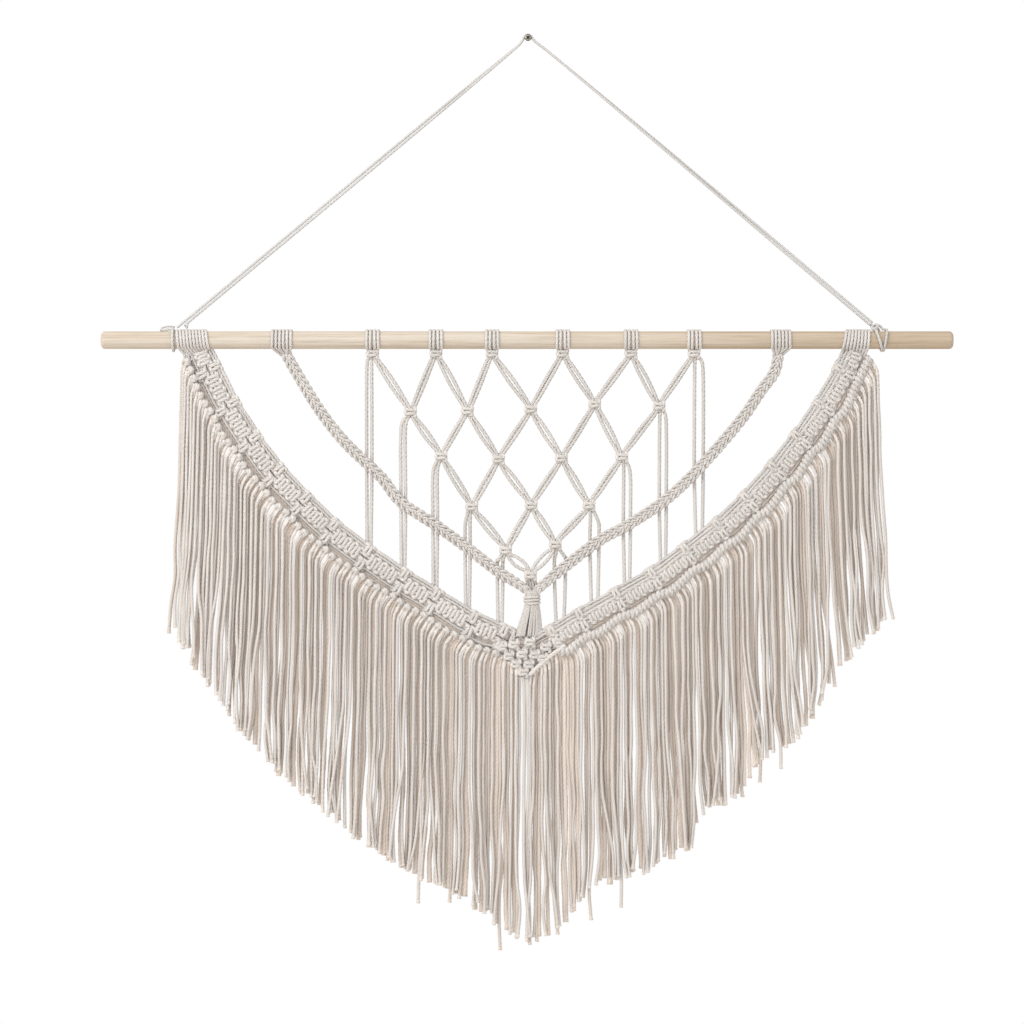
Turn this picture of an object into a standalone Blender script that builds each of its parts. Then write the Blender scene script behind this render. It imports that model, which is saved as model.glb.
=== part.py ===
"""A macrame wall hanging on a wooden dowel, hung from a nail by a doubled cord.

Units are metres, +Z is up and the front faces -Y. The origin is the centre of the nail's flat back,
which lies on the wall plane y = 0. Knotted cotton cord 4 mm thick makes the net, the two braids, the
wide V-shaped band and the long fringe; the hanging cord is 3 mm thick.
"""

from math import atan2, cos, pi, sin

import bmesh
import bpy

# Driving dimensions
CORD = 0.004
HANGER_CORD = 0.003
GAP = 0.0003
DOWEL_RADIUS = 0.0095
DOWEL_LENGTH = 0.914
DOWEL_ROUNDING = 0.0042
DOWEL_ROUND_STEPS = 4
DOWEL_X = -0.001
DOWEL_Z = -0.3253
CLOTH_Y = -0.014
NAIL_SHANK_RADIUS = 0.0015
NAIL_SHANK_LENGTH = 0.0105
NAIL_HEAD_RADIUS = 0.00375
NAIL_FACE_RADIUS = 0.0027
NAIL_HEAD_DEPTH = 0.0014
NAIL_HEAD_ROUNDING = 0.0006

# Lark's heads on the dowel: first and last x of each group, and the number of ridges, one per lark's head
SLEEVE_SIDES = 10
WRAP_THICKNESS = 0.75 * CORD
SLEEVES = {
    # name: (x_from, x_to, ridges)
    "band_left": (-0.3780, -0.3425, 5),
    "band_right": (0.3402, 0.3668, 4),
    "braid_left": (-0.2758, -0.2522, 3),
    "braid_right": (0.2597, 0.2823, 3),
}
NET_SLEEVE_WIDTH = 0.016
NET_SLEEVE_RIDGES = 2

# The net: x and z of each square knot, one tuple per row, from the dowel down
NET_ROWS = (
    ((-0.1667, -0.3395), (-0.0988, -0.3395), (-0.0385, -0.3395), (0.0372, -0.3395), (0.1105, -0.3395),
     (0.1782, -0.3395)),
    ((-0.1260, -0.4022), (-0.0650, -0.4010), (0.0030, -0.3995), (0.0715, -0.3941), (0.1406, -0.3961)),
    ((-0.0931, -0.4497), (-0.0316, -0.4531), (0.0361, -0.4522), (0.1008, -0.4504)),
    ((-0.0602, -0.5041), (0.0035, -0.5026), (0.0655, -0.5026)),
    ((-0.0239, -0.5507), (0.0294, -0.5446)),
    ((0.0028, -0.5774),),
)
KNOT_WIDTH = 0.0115
KNOT_HEIGHT = 0.0075
KNOT_DEPTH = 0.0085
KNOT_BULGE = 1.12
STRAND_HALF = 0.45 * CORD
# How far the two strands of a pair bow from the straight line, for the pairs under each row but the last
PAIR_BOWS = (0.0018, 0.0019, 0.0021, 0.0021, 0.0036)

# The pair of strands that drops from the outer knot of each row to the band's inner edge:
# foot_x where it meets the band, and spread, the distance between its two strands half way down
DROPS = {
    # (row, side): (foot_x, spread)
    (0, -1): (-0.1706, 0.0052),
    (1, -1): (-0.1341, 0.0046),
    (2, -1): (-0.0998, 0.0046),
    (3, -1): (-0.0649, 0.0050),
    (4, -1): (-0.0300, 0.0054),
    (0, 1): (0.1835, 0.0090),
    (1, 1): (0.1449, 0.0070),
    (2, 1): (0.1063, 0.0070),
    (3, 1): (0.0714, 0.0090),
    (4, 1): (0.0343, 0.0110),
}
DROP_TURN = 0.014
BRAID_CLEARANCE = 0.012
BEHIND_BRAID_Y = -0.0082
# The four strands from the lowest knot into the gathering knot
TAIL_PITCH = 0.0029
TAIL_TURN = 0.006
TAIL_Y = -0.0098
TAIL_HALVES = (0.0012, 0.0014)

# The two braids: x and z along the middle of each
BRAID_LEFT = (
    (-0.2620, -0.3362), (-0.2475, -0.3618), (-0.2225, -0.4023), (-0.1954, -0.4361), (-0.1581, -0.4720),
    (-0.1363, -0.4990), (-0.0993, -0.5237), (-0.0665, -0.5473), (-0.0328, -0.5731), (-0.0090, -0.5880),
)
BRAID_RIGHT = (
    (0.2690, -0.3362), (0.2648, -0.3587), (0.2494, -0.3805), (0.2275, -0.4121), (0.1820, -0.4644),
    (0.1463, -0.4977), (0.1069, -0.5237), (0.0773, -0.5397), (0.0411, -0.5670), (0.0170, -0.5870),
)
BRAID_HALF_WIDTH = 0.0052
BRAID_HALF_DEPTH = 0.0033
BRAID_STEP = 0.0095
BRAID_END_HALF_WIDTH = 0.0034
BRAID_END_SHIFT = 0.0038
BRAID_FRONT_Y = -0.0152

# The gathering knot where the braids and the net meet, and its flared bundle of strand ends
GATHER_X = 0.0042
GATHER_TOP_Z = -0.5955
GATHER_SECTIONS = (
    # drop below the top, half width, half depth
    (0.0000, 0.0075, 0.0052),
    (0.0060, 0.0080, 0.0056),
    (0.0110, 0.0074, 0.0052),
    (0.0200, 0.0092, 0.0050),
    (0.0320, 0.0118, 0.0044),
    (0.0430, 0.0134, 0.0036),
)
GATHER_WRAP = 0.012
GATHER_RIBS = 7

# The band: x and z of its middle at the dowel and at each tie between two panels, down to the centre
BAND_LEFT = (
    (-0.3511, -0.3362), (-0.3418, -0.3570), (-0.3216, -0.3961), (-0.2982, -0.4334), (-0.2717, -0.4689),
    (-0.2427, -0.4994), (-0.2120, -0.5287), (-0.1753, -0.5566), (-0.1358, -0.5831), (-0.1016, -0.6041),
    (-0.0610, -0.6287), (-0.0282, -0.6432), (0.0021, -0.6579),
)
BAND_RIGHT = (
    (0.3515, -0.3362), (0.3370, -0.3670), (0.3130, -0.4067), (0.2874, -0.4414), (0.2608, -0.4746),
    (0.2315, -0.5064), (0.2000, -0.5348), (0.1661, -0.5606), (0.1307, -0.5859), (0.0937, -0.6068),
    (0.0566, -0.6276), (0.0290, -0.6439), (0.0021, -0.6579),
)
BAND_HALF_WIDTH = 0.0128
BAND_TOP_HALF_WIDTH = 0.0116
BAND_TIE_SWELL = 0.0012
BAND_CENTRE_SWELL = 0.002
BAND_CENTRE_HALF_WIDTH = 0.0172
BAND_BACK = 0.0034
BAND_SECTIONS = 6
SENNIT_PEAK = 0.0056
SENNIT_DIP = 0.0042
EDGE_PAIR_HEIGHT = 0.0024
GROOVE_HEIGHT = 0.0008

# The fringe: the knotted cord that carries it, then one strand at every step along that cord
FRINGE_LEFT_TOP = (-0.3675, -0.3438)
FRINGE_RIGHT_TOP = (0.3668, -0.3440)
FRINGE_TIP = (0.0010, -0.6838)
RIDGE_OFFSET = 0.0183
RIDGE_SAG = 0.0024
RIDGE_BUMP = 0.0040
RIDGE_DIP = 0.0032
RIDGE_STEP = 0.0049
RIDGE_PROFILE = (
    # share of the ridge's half height, y
    (0.5, -0.0202), (1.0, -0.0162), (1.0, -0.0118), (0.5, -0.0078),
)
LAYER_YS = (-0.0184, -0.0140, -0.0096)
SHOULDER_OUT = 0.0065
STEEP_FROM_X = -0.30
STEEP_BLEND = 0.06
STEEP_OUT = 0.0022
SHOULDER_DROP = 0.0095
TIP_REACH = 0.060
TIP_INWARD = 0.0026
STRAND_SCATTER = 0.0004
HEM_DRIFT = 0.012
HEM_SCATTER = 0.004
HEM = (
    # x, z of the fringe's lower outline
    (-0.385, -0.628), (-0.354, -0.677), (-0.321, -0.724), (-0.276, -0.782), (-0.224, -0.825),
    (-0.179, -0.860), (-0.142, -0.885), (-0.093, -0.911), (-0.062, -0.926), (-0.021, -0.960),
    (0.002, -0.971), (0.034, -0.956), (0.053, -0.931), (0.075, -0.907), (0.131, -0.892),
    (0.174, -0.868), (0.190, -0.825), (0.230, -0.811), (0.249, -0.771), (0.285, -0.754),
    (0.315, -0.716), (0.332, -0.674), (0.354, -0.652), (0.385, -0.622),
)
STRAYS = (
    # x, z of the ends that hang lower than the rest
    (-0.3870, -0.640), (-0.1127, -0.929), (-0.0816, -0.929), (-0.0258, -0.980),
    (0.0622, -0.948), (0.0966, -0.934), (0.2463, -0.800), (0.2635, -0.785),
)

# Routes of the two strands of the hanging cord, from the left of the dowel over the nail to the right
STRAND_A = (
    (-0.3765, -0.0140, -0.3117), (-0.2611, -0.0117, -0.2154), (-0.1511, -0.0090, -0.1236),
    (-0.0809, -0.0072, -0.0654), (-0.0304, -0.0057, -0.0243), (-0.0105, -0.0052, -0.0081),
    (-0.0062, -0.0051, -0.0030), (-0.0032, -0.0051, 0.0020), (0.0000, -0.0051, 0.0034),
    (0.0032, -0.0051, 0.0020), (0.0062, -0.0051, -0.0022), (0.0110, -0.0052, -0.0064),
    (0.0301, -0.0056, -0.0214), (0.1306, -0.0078, -0.1045), (0.2610, -0.0111, -0.2146),
    (0.3697, -0.0140, -0.3068),
)
STRAND_B = (
    (-0.3664, -0.0140, -0.3127), (-0.3650, -0.0139, -0.3080), (-0.3600, -0.0138, -0.3023),
    (-0.2589, -0.0123, -0.2180), (-0.1489, -0.0105, -0.1262), (-0.0791, -0.0098, -0.0676),
    (-0.0296, -0.0092, -0.0253), (-0.0103, -0.0087, -0.0083), (-0.0062, -0.0086, -0.0030),
    (-0.0032, -0.0086, 0.0020), (0.0000, -0.0086, 0.0034), (0.0032, -0.0086, 0.0020),
    (0.0062, -0.0086, -0.0022), (0.0110, -0.0087, -0.0064), (0.0299, -0.0091, -0.0217),
    (0.1294, -0.0108, -0.1059), (0.2590, -0.0126, -0.2170), (0.3675, -0.0140, -0.3094),
)
LONG_STRETCH = 0.05
TIE_LEFT_X = (-0.3840, -0.3808)
TIE_TAIL_SECTIONS = (
    # x, half width, height
    (-0.3822, 0.0015, 0.0026),
    (-0.3888, 0.0017, 0.0052),
    (-0.3950, 0.0012, 0.0046),
)
TIE_WRAP_TOPS = (0.3702, 0.3853)
TIE_WRAP_FEET = (0.3777, 0.3802)
TIE_KNOT_X = 0.3722
TIE_KNOT_RADIUS = 0.0043

COTTON = (0.76, 0.70, 0.63)
WOOD = (0.77, 0.64, 0.46)
STEEL = (0.80, 0.80, 0.78)


# Shared tools
class Shell:
    """Points and faces of one closed body, added ring by ring."""

    def __init__(self):
        self.points = []
        self.faces = []

    def add(self, points):
        first = len(self.points)
        self.points.extend(points)
        return tuple(range(first, len(self.points)))

    def bridge(self, ring, following):
        count = len(ring)
        for i in range(count):
            j = (i + 1) % count
            self.faces.append((ring[i], ring[j], following[j], following[i]))

    def tube(self, rings):
        """A capped tube through these rings of points."""
        loops = [self.add(ring) for ring in rings]
        for ring, following in zip(loops, loops[1:]):
            self.bridge(ring, following)
        self.faces.append(loops[0])
        self.faces.append(loops[-1])
        return loops


def material(name, colour, roughness, metallic):
    finish = bpy.data.materials.new(name)
    finish.use_nodes = True
    shader = finish.node_tree.nodes["Principled BSDF"]
    shader.inputs["Base Color"].default_value = (*colour, 1.0)
    shader.inputs["Roughness"].default_value = roughness
    shader.inputs["Metallic"].default_value = metallic
    return finish


def finished(obj, colour, roughness, metallic=0.0, smooth_angle=0.6):
    """Puts the object in the scene with its own material, smooth where its faces turn gently."""
    bpy.context.scene.collection.objects.link(obj)
    obj.data.materials.append(material(obj.name, colour, roughness, metallic))
    if obj.type == "MESH":
        obj.data.shade_smooth()
        obj.data.set_sharp_from_angle(angle=smooth_angle)
    return obj


def body(name, shell, colour, roughness, metallic=0.0):
    mesh = bpy.data.meshes.new(name)
    mesh.from_pydata(shell.points, [], shell.faces)
    shaped = bmesh.new()
    shaped.from_mesh(mesh)
    bmesh.ops.recalc_face_normals(shaped, faces=shaped.faces)
    shaped.to_mesh(mesh)
    shaped.free()
    return finished(bpy.data.objects.new(name, mesh), colour, roughness, metallic)


def joined(obj, helper):
    """Fuses a helper body to an object with a Boolean union, and keeps the helper as a hidden guide."""
    helper.hide_render = True
    helper.display_type = "WIRE"
    union = obj.modifiers.new("join " + helper.name, "BOOLEAN")
    union.operation = "UNION"
    union.solver = "EXACT"
    union.object = helper


def smooth_line(points, steps):
    """Points on the smooth curve through these points. steps lists the number of steps in each stretch."""
    first = tuple(2 * a - b for a, b in zip(points[0], points[1]))
    last = tuple(2 * a - b for a, b in zip(points[-1], points[-2]))
    padded = (first, *points, last)
    line = []
    for k in range(1, len(padded) - 2):
        before, start, end, after = padded[k - 1:k + 3]
        for step in range(steps[k - 1]):
            t = step / steps[k - 1]
            line.append(tuple(
                b + 0.5 * t * (c - a + t * (2 * a - 5 * b + 4 * c - d + t * (3 * b - a - 3 * c + d)))
                for a, b, c, d in zip(before, start, end, after)))
    line.append(points[-1])
    return line


def smooth(points, steps):
    """The same with one number of steps for every stretch."""
    return smooth_line(points, [steps] * (len(points) - 1))


def distance(a, b):
    return sum((p - q) ** 2 for p, q in zip(a, b)) ** 0.5


def evenly(line, step):
    """Points at about this step along the line, in equal stretches from its first point to its last."""
    lengths = [0.0]
    for a, b in zip(line, line[1:]):
        lengths.append(lengths[-1] + distance(a, b))
    count = max(1, round(lengths[-1] / step))
    points = []
    k = 0
    for i in range(count + 1):
        want = lengths[-1] * i / count
        while k < len(line) - 2 and lengths[k + 1] < want:
            k += 1
        t = (want - lengths[k]) / (lengths[k + 1] - lengths[k])
        points.append(tuple(a + (b - a) * t for a, b in zip(line[k], line[k + 1])))
    return points


def heading(line, i):
    """Unit direction of the line at its point i."""
    a = line[max(i - 1, 0)]
    b = line[min(i + 1, len(line) - 1)]
    length = distance(a, b)
    return ((b[0] - a[0]) / length, (b[1] - a[1]) / length)


def height_at(line, x):
    """z of a line of (x, z) points where it passes this x."""
    for a, b in zip(line, line[1:]):
        if min(a[0], b[0]) <= x <= max(a[0], b[0]):
            t = (x - a[0]) / (b[0] - a[0]) if b[0] != a[0] else 0.0
            return a[1] + (b[1] - a[1]) * t
    return min(line, key=lambda p: abs(p[0] - x))[1]


# The dowel and the nail
def turned(name, profile, place, sides, colour, roughness, metallic=0.0):
    """A turned body. profile has the distance along the axis and the radius; place gives a point from
    them and the angle."""
    shell = Shell()
    angles = [2 * pi * i / sides for i in range(sides)]
    shell.tube([[place(along, radius, angle) for angle in angles] for along, radius in profile])
    return body(name, shell, colour, roughness, metallic)


def on_dowel(x, radius, angle):
    """A point round the dowel; angle 0 is the top and a quarter turn is the front."""
    return (x, CLOTH_Y - radius * sin(angle), DOWEL_Z + radius * cos(angle))


def make_dowel():
    left, right = DOWEL_X - DOWEL_LENGTH / 2, DOWEL_X + DOWEL_LENGTH / 2
    end = []
    for k in range(DOWEL_ROUND_STEPS + 1):
        turn = pi / 2 * k / DOWEL_ROUND_STEPS
        end.append((DOWEL_ROUNDING * (1 - cos(turn)), DOWEL_RADIUS - DOWEL_ROUNDING * (1 - sin(turn))))
    profile = [(left + inset, radius) for inset, radius in end]
    profile += [(right - inset, radius) for inset, radius in reversed(end)]
    turned("dowel", profile, on_dowel, 24, WOOD, 0.55)


def round_nail(along, radius, angle):
    """A point round the nail, whose axis stands out of the wall."""
    return (radius * cos(angle), -along, radius * sin(angle))


def make_nail():
    head = NAIL_SHANK_LENGTH + NAIL_HEAD_DEPTH
    profile = ((0.0, NAIL_SHANK_RADIUS), (NAIL_SHANK_LENGTH, NAIL_SHANK_RADIUS),
               (NAIL_SHANK_LENGTH, NAIL_HEAD_RADIUS), (head - NAIL_HEAD_ROUNDING, NAIL_HEAD_RADIUS),
               (head, NAIL_FACE_RADIUS))
    turned("wall_nail", profile, round_nail, 12, STEEL, 0.35, 1.0)


# The hanging cord
def make_hanger_strand(name, route):
    line = smooth_line(route, [5 if distance(a, b) > LONG_STRETCH else 2 for a, b in zip(route, route[1:])])
    curve = bpy.data.curves.new(name, "CURVE")
    curve.dimensions = "3D"
    curve.bevel_depth = HANGER_CORD / 2
    curve.bevel_resolution = 2
    curve.use_fill_caps = True
    spline = curve.splines.new("POLY")
    spline.points.add(len(line) - 1)
    for point, place in zip(spline.points, line):
        point.co = (*place, 1.0)
    finished(bpy.data.objects.new(name, curve), COTTON, 0.9)


def sleeve_rings(x_from, x_to, ridges, thickness):
    """Rings of a sleeve of wraps round the dowel: the outer side with its ridges, then the inner side."""
    inner = (DOWEL_RADIUS + GAP) / cos(pi / SLEEVE_SIDES)
    outer = DOWEL_RADIUS + GAP + thickness
    stations = 2 * ridges
    rings = []
    for i in range(stations + 1):
        radius = outer if i % 2 else outer - thickness / 5
        rings.append((x_from + (x_to - x_from) * i / stations, radius))
    rings.append((x_to, inner))
    rings.append((x_from, inner))
    return rings


def add_sleeve(shell, x_from, x_to, ridges, thickness, open_below=False):
    """Adds a sleeve of wraps. One side of it faces straight down, and that row of faces can be left open."""
    half_turn = pi / SLEEVE_SIDES
    rings = sleeve_rings(x_from, x_to, ridges, thickness)
    loops = []
    for x, radius in rings:
        loops.append(shell.add([
            on_dowel(x, radius, pi + half_turn - 2 * half_turn * (i + 1)) for i in range(SLEEVE_SIDES)]))
    below_front, below_back = 0, SLEEVE_SIDES - 1
    outer_count = 2 * ridges
    for k, ring in enumerate(loops):
        following = loops[(k + 1) % len(loops)]
        for i in range(SLEEVE_SIDES):
            j = (i + 1) % SLEEVE_SIDES
            if open_below and k < outer_count and i == below_back:
                continue
            shell.faces.append((ring[i], ring[j], following[j], following[i]))
    front = [loops[k][below_front] for k in range(outer_count + 1)]
    back = [loops[k][below_back] for k in range(outer_count + 1)]
    return front, back


def sleeve_helper(name):
    shell = Shell()
    x_from, x_to, ridges = SLEEVES[name]
    add_sleeve(shell, x_from, x_to, ridges, WRAP_THICKNESS)
    return body(name + "_sleeve_guide", shell, COTTON, 0.9)


def ring_round_dowel(top_x, foot_x):
    """A ring of cord round the dowel that leans from one x at its top to another at its foot."""
    segments, sides = 12, 6
    middle = (DOWEL_RADIUS + GAP + HANGER_CORD / 2) / cos(pi / segments)
    shell = Shell()
    loops = []
    for i in range(segments):
        angle = 2 * pi * i / segments
        x = (top_x + foot_x) / 2 + (top_x - foot_x) / 2 * cos(angle)
        points = []
        for k in range(sides):
            round_cord = 2 * pi * k / sides
            points.append(on_dowel(x + HANGER_CORD / 2 * sin(round_cord),
                                   middle + HANGER_CORD / 2 * cos(round_cord), angle))
        loops.append(shell.add(points))
    for i, ring in enumerate(loops):
        shell.bridge(ring, loops[(i + 1) % segments])
    return shell


def make_ties():
    shell = Shell()
    add_sleeve(shell, *TIE_LEFT_X, 1, HANGER_CORD)
    left = body("hanger_tie_left", shell, COTTON, 0.9)
    tail = Shell()
    low = DOWEL_Z + DOWEL_RADIUS + 2 * GAP
    tail.tube([[(x, CLOTH_Y - half, low), (x, CLOTH_Y + half, low), (x, CLOTH_Y + half, low + high),
                (x, CLOTH_Y - half, low + high)] for x, half, high in TIE_TAIL_SECTIONS])
    joined(left, body("tie_tail_guide", tail, COTTON, 0.9))

    right = body("hanger_tie_right", ring_round_dowel(TIE_WRAP_TOPS[0], TIE_WRAP_FEET[0]), COTTON, 0.9)
    joined(right, body("tie_wrap_guide", ring_round_dowel(TIE_WRAP_TOPS[1], TIE_WRAP_FEET[1]), COTTON, 0.9))
    knot = bpy.data.meshes.new("tie_knot_guide")
    ball = bmesh.new()
    bmesh.ops.create_icosphere(ball, subdivisions=2, radius=TIE_KNOT_RADIUS)
    knot_z = DOWEL_Z + DOWEL_RADIUS + GAP + TIE_KNOT_RADIUS
    bmesh.ops.translate(ball, verts=ball.verts, vec=(TIE_KNOT_X, CLOTH_Y, knot_z))
    ball.to_mesh(knot)
    ball.free()
    joined(right, finished(bpy.data.objects.new("tie_knot_guide", knot), COTTON, 0.9))


# The band
def band_side(nodes):
    """Sections of one half of the band, from the dowel to the centre: middle, direction to its inner edge and
    place. The place is a whole number at each tie between two panels."""
    line = smooth(nodes, BAND_SECTIONS)
    side = -1 if nodes[0][0] < 0 else 1
    sections = []
    for i, middle in enumerate(line):
        along = heading(line, i)
        inner = (side * along[1], -side * along[0])
        level = (-side, 0.0)
        blend = min(1.0, i / BAND_SECTIONS)
        lean = tuple(a * (1 - blend) + b * blend for a, b in zip(level, inner))
        if i == len(line) - 1:
            lean = (0.0, 1.0)
        length = distance(lean, (0.0, 0.0))
        sections.append((middle, (lean[0] / length, lean[1] / length), i / BAND_SECTIONS))
    return sections


def band_half_widths(place, panels):
    """Half widths towards the inner and the outer edge."""
    from_tie = abs(place - round(place))
    swell = BAND_TIE_SWELL * (1 - 2 * from_tie)
    top = max(0.0, 1 - place)
    half = BAND_HALF_WIDTH * (1 - top) + BAND_TOP_HALF_WIDTH * top
    outer = half + (swell if place >= 1 else 0.0)
    centre = max(0.0, place - (panels - 1))
    return half + BAND_CENTRE_SWELL * centre, outer + (BAND_CENTRE_HALF_WIDTH - outer) * centre


def band_ring(middle, inner, place, panels):
    half_in, half_out = band_half_widths(place, panels)
    step = round(place * BAND_SECTIONS)
    tie = step % BAND_SECTIONS == 0
    peak = SENNIT_PEAK if step % 2 else SENNIT_DIP
    edge = EDGE_PAIR_HEIGHT * (1.6 if tie else 1.0)
    profile = (
        (half_in, 0.0), (0.74 * half_in, edge), (0.52 * half_in, GROOVE_HEIGHT), (0.27 * half_in, peak),
        (-0.27 * half_out, peak), (-0.52 * half_out, GROOVE_HEIGHT), (-0.74 * half_out, edge),
        (-half_out, 0.0), (0.0, -BAND_BACK),
    )
    return [(middle[0] + inner[0] * n, CLOTH_Y - front, middle[1] + inner[1] * n) for n, front in profile]


def make_band():
    shell = Shell()
    panels = len(BAND_LEFT) - 1
    left = [band_ring(*section, panels) for section in band_side(BAND_LEFT)]
    right = [band_ring(*section, panels) for section in band_side(BAND_RIGHT)]
    shell.tube(left + right[-2::-1])
    band = body("band", shell, COTTON, 0.9)
    joined(band, sleeve_helper("band_left"))
    joined(band, sleeve_helper("band_right"))


def band_inner_edge(nodes):
    panels = len(nodes) - 1
    return [(middle[0] + inner[0] * band_half_widths(place, panels)[0],
             middle[1] + inner[1] * band_half_widths(place, panels)[0])
            for middle, inner, place in band_side(nodes)]


def above_band(x, half_width):
    """The lowest z at which a level cut this wide, centred on x, stands clear of the band's inner edge."""
    edge = band_inner_edge(BAND_LEFT) + band_inner_edge(BAND_RIGHT)[::-1]
    return max(height_at(edge, x + shift) for shift in (-half_width, 0.0, half_width)) + 1.5 * GAP


# The braids and their gathering knot
def make_braid(name, nodes, end_x):
    line = evenly(smooth((*nodes, (end_x, GATHER_TOP_Z + GAP)), 6), BRAID_STEP)
    last = len(line) - 1
    rings = []
    for i, (x, z) in enumerate(line):
        along = heading(line, i)
        across = (-along[1], along[0])
        if i in (0, last):
            across = (1.0, 0.0)
        ease = max(0.0, 1 - (last - i) / 3)
        half = BRAID_HALF_WIDTH + (BRAID_END_HALF_WIDTH - BRAID_HALF_WIDTH) * ease
        y = CLOTH_Y + (BRAID_FRONT_Y - CLOTH_Y) * max(0.0, 1 - (last - i) / 6)
        lean = (1 if i % 2 else -1) * (0.0 if i in (0, last) else 1.0)
        wide, narrow = half * (1 + 0.10 * lean), half * (1 - 0.10 * lean)
        deep, flat = BRAID_HALF_DEPTH * (1 + 0.20 * lean), BRAID_HALF_DEPTH * (1 - 0.20 * lean)
        profile = ((wide, 0.0), (wide / 2, deep), (-narrow / 2, flat), (-narrow, 0.0),
                   (-narrow / 2, -BRAID_HALF_DEPTH), (wide / 2, -BRAID_HALF_DEPTH))
        rings.append([(x + across[0] * n, y - front, z + across[1] * n) for n, front in profile])
    shell = Shell()
    shell.tube(rings)
    braid = body(name, shell, COTTON, 0.9)
    joined(braid, sleeve_helper(name))


def make_gather():
    """The wrapped knot and the bundle under it, whose last section follows the band's inner edge."""
    shell = Shell()
    sides = 2 * GATHER_RIBS
    rings = []
    for drop, half_width, half_depth in GATHER_SECTIONS:
        ring = []
        for i in range(sides):
            angle = 2 * pi * i / sides
            rib = 0.86 if i % 2 and drop > GATHER_WRAP else 1.0
            x = GATHER_X + half_width * rib * cos(angle)
            z = above_band(x, 0.0) if drop == GATHER_SECTIONS[-1][0] else GATHER_TOP_Z - drop
            ring.append((x, CLOTH_Y + half_depth * rib * sin(angle), z))
        rings.append(ring)
    shell.tube(rings)
    body("centre_gather", shell, COTTON, 0.9)


# The net
def level_quad(x, y, z, half_x, half_y=STRAND_HALF):
    return [(x - half_x, y - half_y, z), (x + half_x, y - half_y, z), (x + half_x, y + half_y, z),
            (x - half_x, y + half_y, z)]


def quads_of(front, back):
    return [(front[k], front[k + 1], back[k + 1], back[k]) for k in range(len(front) - 1)]


def add_knot(shell, x, z, hung_from=None):
    """A square knot as a ridged block. It returns its upper and its lower four faces, from left to right,
    left open for the strands. The knots of the first row grow out of the faces under their sleeve."""
    levels = []
    if hung_from:
        levels.append(hung_from)
    for height, bulge in ((0.5, 1.0), (0.0, KNOT_BULGE), (-0.5, 1.0))[1 if hung_from else 0:]:
        rows = []
        for y in (CLOTH_Y - KNOT_DEPTH / 2 * bulge, CLOTH_Y + KNOT_DEPTH / 2 * bulge):
            rows.append(shell.add([
                (x + KNOT_WIDTH * bulge * (k - 2) / 4, y, z + KNOT_HEIGHT * height) for k in range(5)]))
        levels.append(rows)
    for (front, back), (low_front, low_back) in zip(levels, levels[1:]):
        for k in range(4):
            shell.faces.append((front[k], front[k + 1], low_front[k + 1], low_front[k]))
            shell.faces.append((back[k], back[k + 1], low_back[k + 1], low_back[k]))
        shell.faces.append((front[0], back[0], low_back[0], low_front[0]))
        shell.faces.append((front[4], back[4], low_back[4], low_front[4]))
    return quads_of(*levels[0]), quads_of(*levels[-1])


def add_strand(shell, start, sections, end=None):
    """A four-sided strand from an open face through level sections to another open face, or to a
    closed end."""
    ring = start
    for section in sections:
        following = shell.add(section)
        shell.bridge(ring, following)
        ring = following
    if end:
        shell.bridge(ring, end)
    else:
        shell.faces.append(ring)


def centre_of(shell, quad):
    return tuple(sum(shell.points[k][axis] for k in quad) / 4 for axis in range(3))


def add_pair(shell, starts, ends, widest):
    """Two strands between two knots, bowed apart half way. The first of each is the left one."""
    for order, (start, end) in enumerate(zip(starts, ends)):
        a, b = centre_of(shell, start), centre_of(shell, end)
        slope = atan2(b[0] - a[0], a[2] - b[2])
        bow = widest * (-1 if order == 0 else 1)
        sections = []
        for t in (0.3, 0.7):
            push = bow * sin(pi * t)
            x = a[0] + (b[0] - a[0]) * t + push * cos(slope)
            z = a[2] + (b[2] - a[2]) * t + push * sin(slope)
            sections.append(level_quad(x, CLOTH_Y, z, STRAND_HALF / cos(slope)))
        add_strand(shell, start, sections, end)


def add_drop(shell, starts, row, side):
    """The outer pair of a row: down behind the braid, then forward to the band's inner edge."""
    foot_x, spread = DROPS[row, side]
    braid = smooth((*(BRAID_LEFT if side < 0 else BRAID_RIGHT), (GATHER_X, GATHER_TOP_Z)), 4)
    crossing = height_at(braid, foot_x)
    for order, start in enumerate(starts):
        _, y, z = centre_of(shell, start)
        apart = spread / 2 * (-1 if order == 0 else 1)
        foot = foot_x + apart * 0.8
        foot_z = above_band(foot, STRAND_HALF)
        top = z - min(DROP_TURN, 0.6 * (z - crossing - BRAID_CLEARANCE))
        sections = (
            level_quad(foot_x + apart, (y + BEHIND_BRAID_Y) / 2, top, STRAND_HALF),
            level_quad(foot_x + apart, BEHIND_BRAID_Y, crossing + BRAID_CLEARANCE, STRAND_HALF),
            level_quad(foot_x + apart, BEHIND_BRAID_Y, crossing - BRAID_CLEARANCE, STRAND_HALF),
            level_quad(foot, CLOTH_Y, foot_z, STRAND_HALF),
        )
        add_strand(shell, start, sections)


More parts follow.
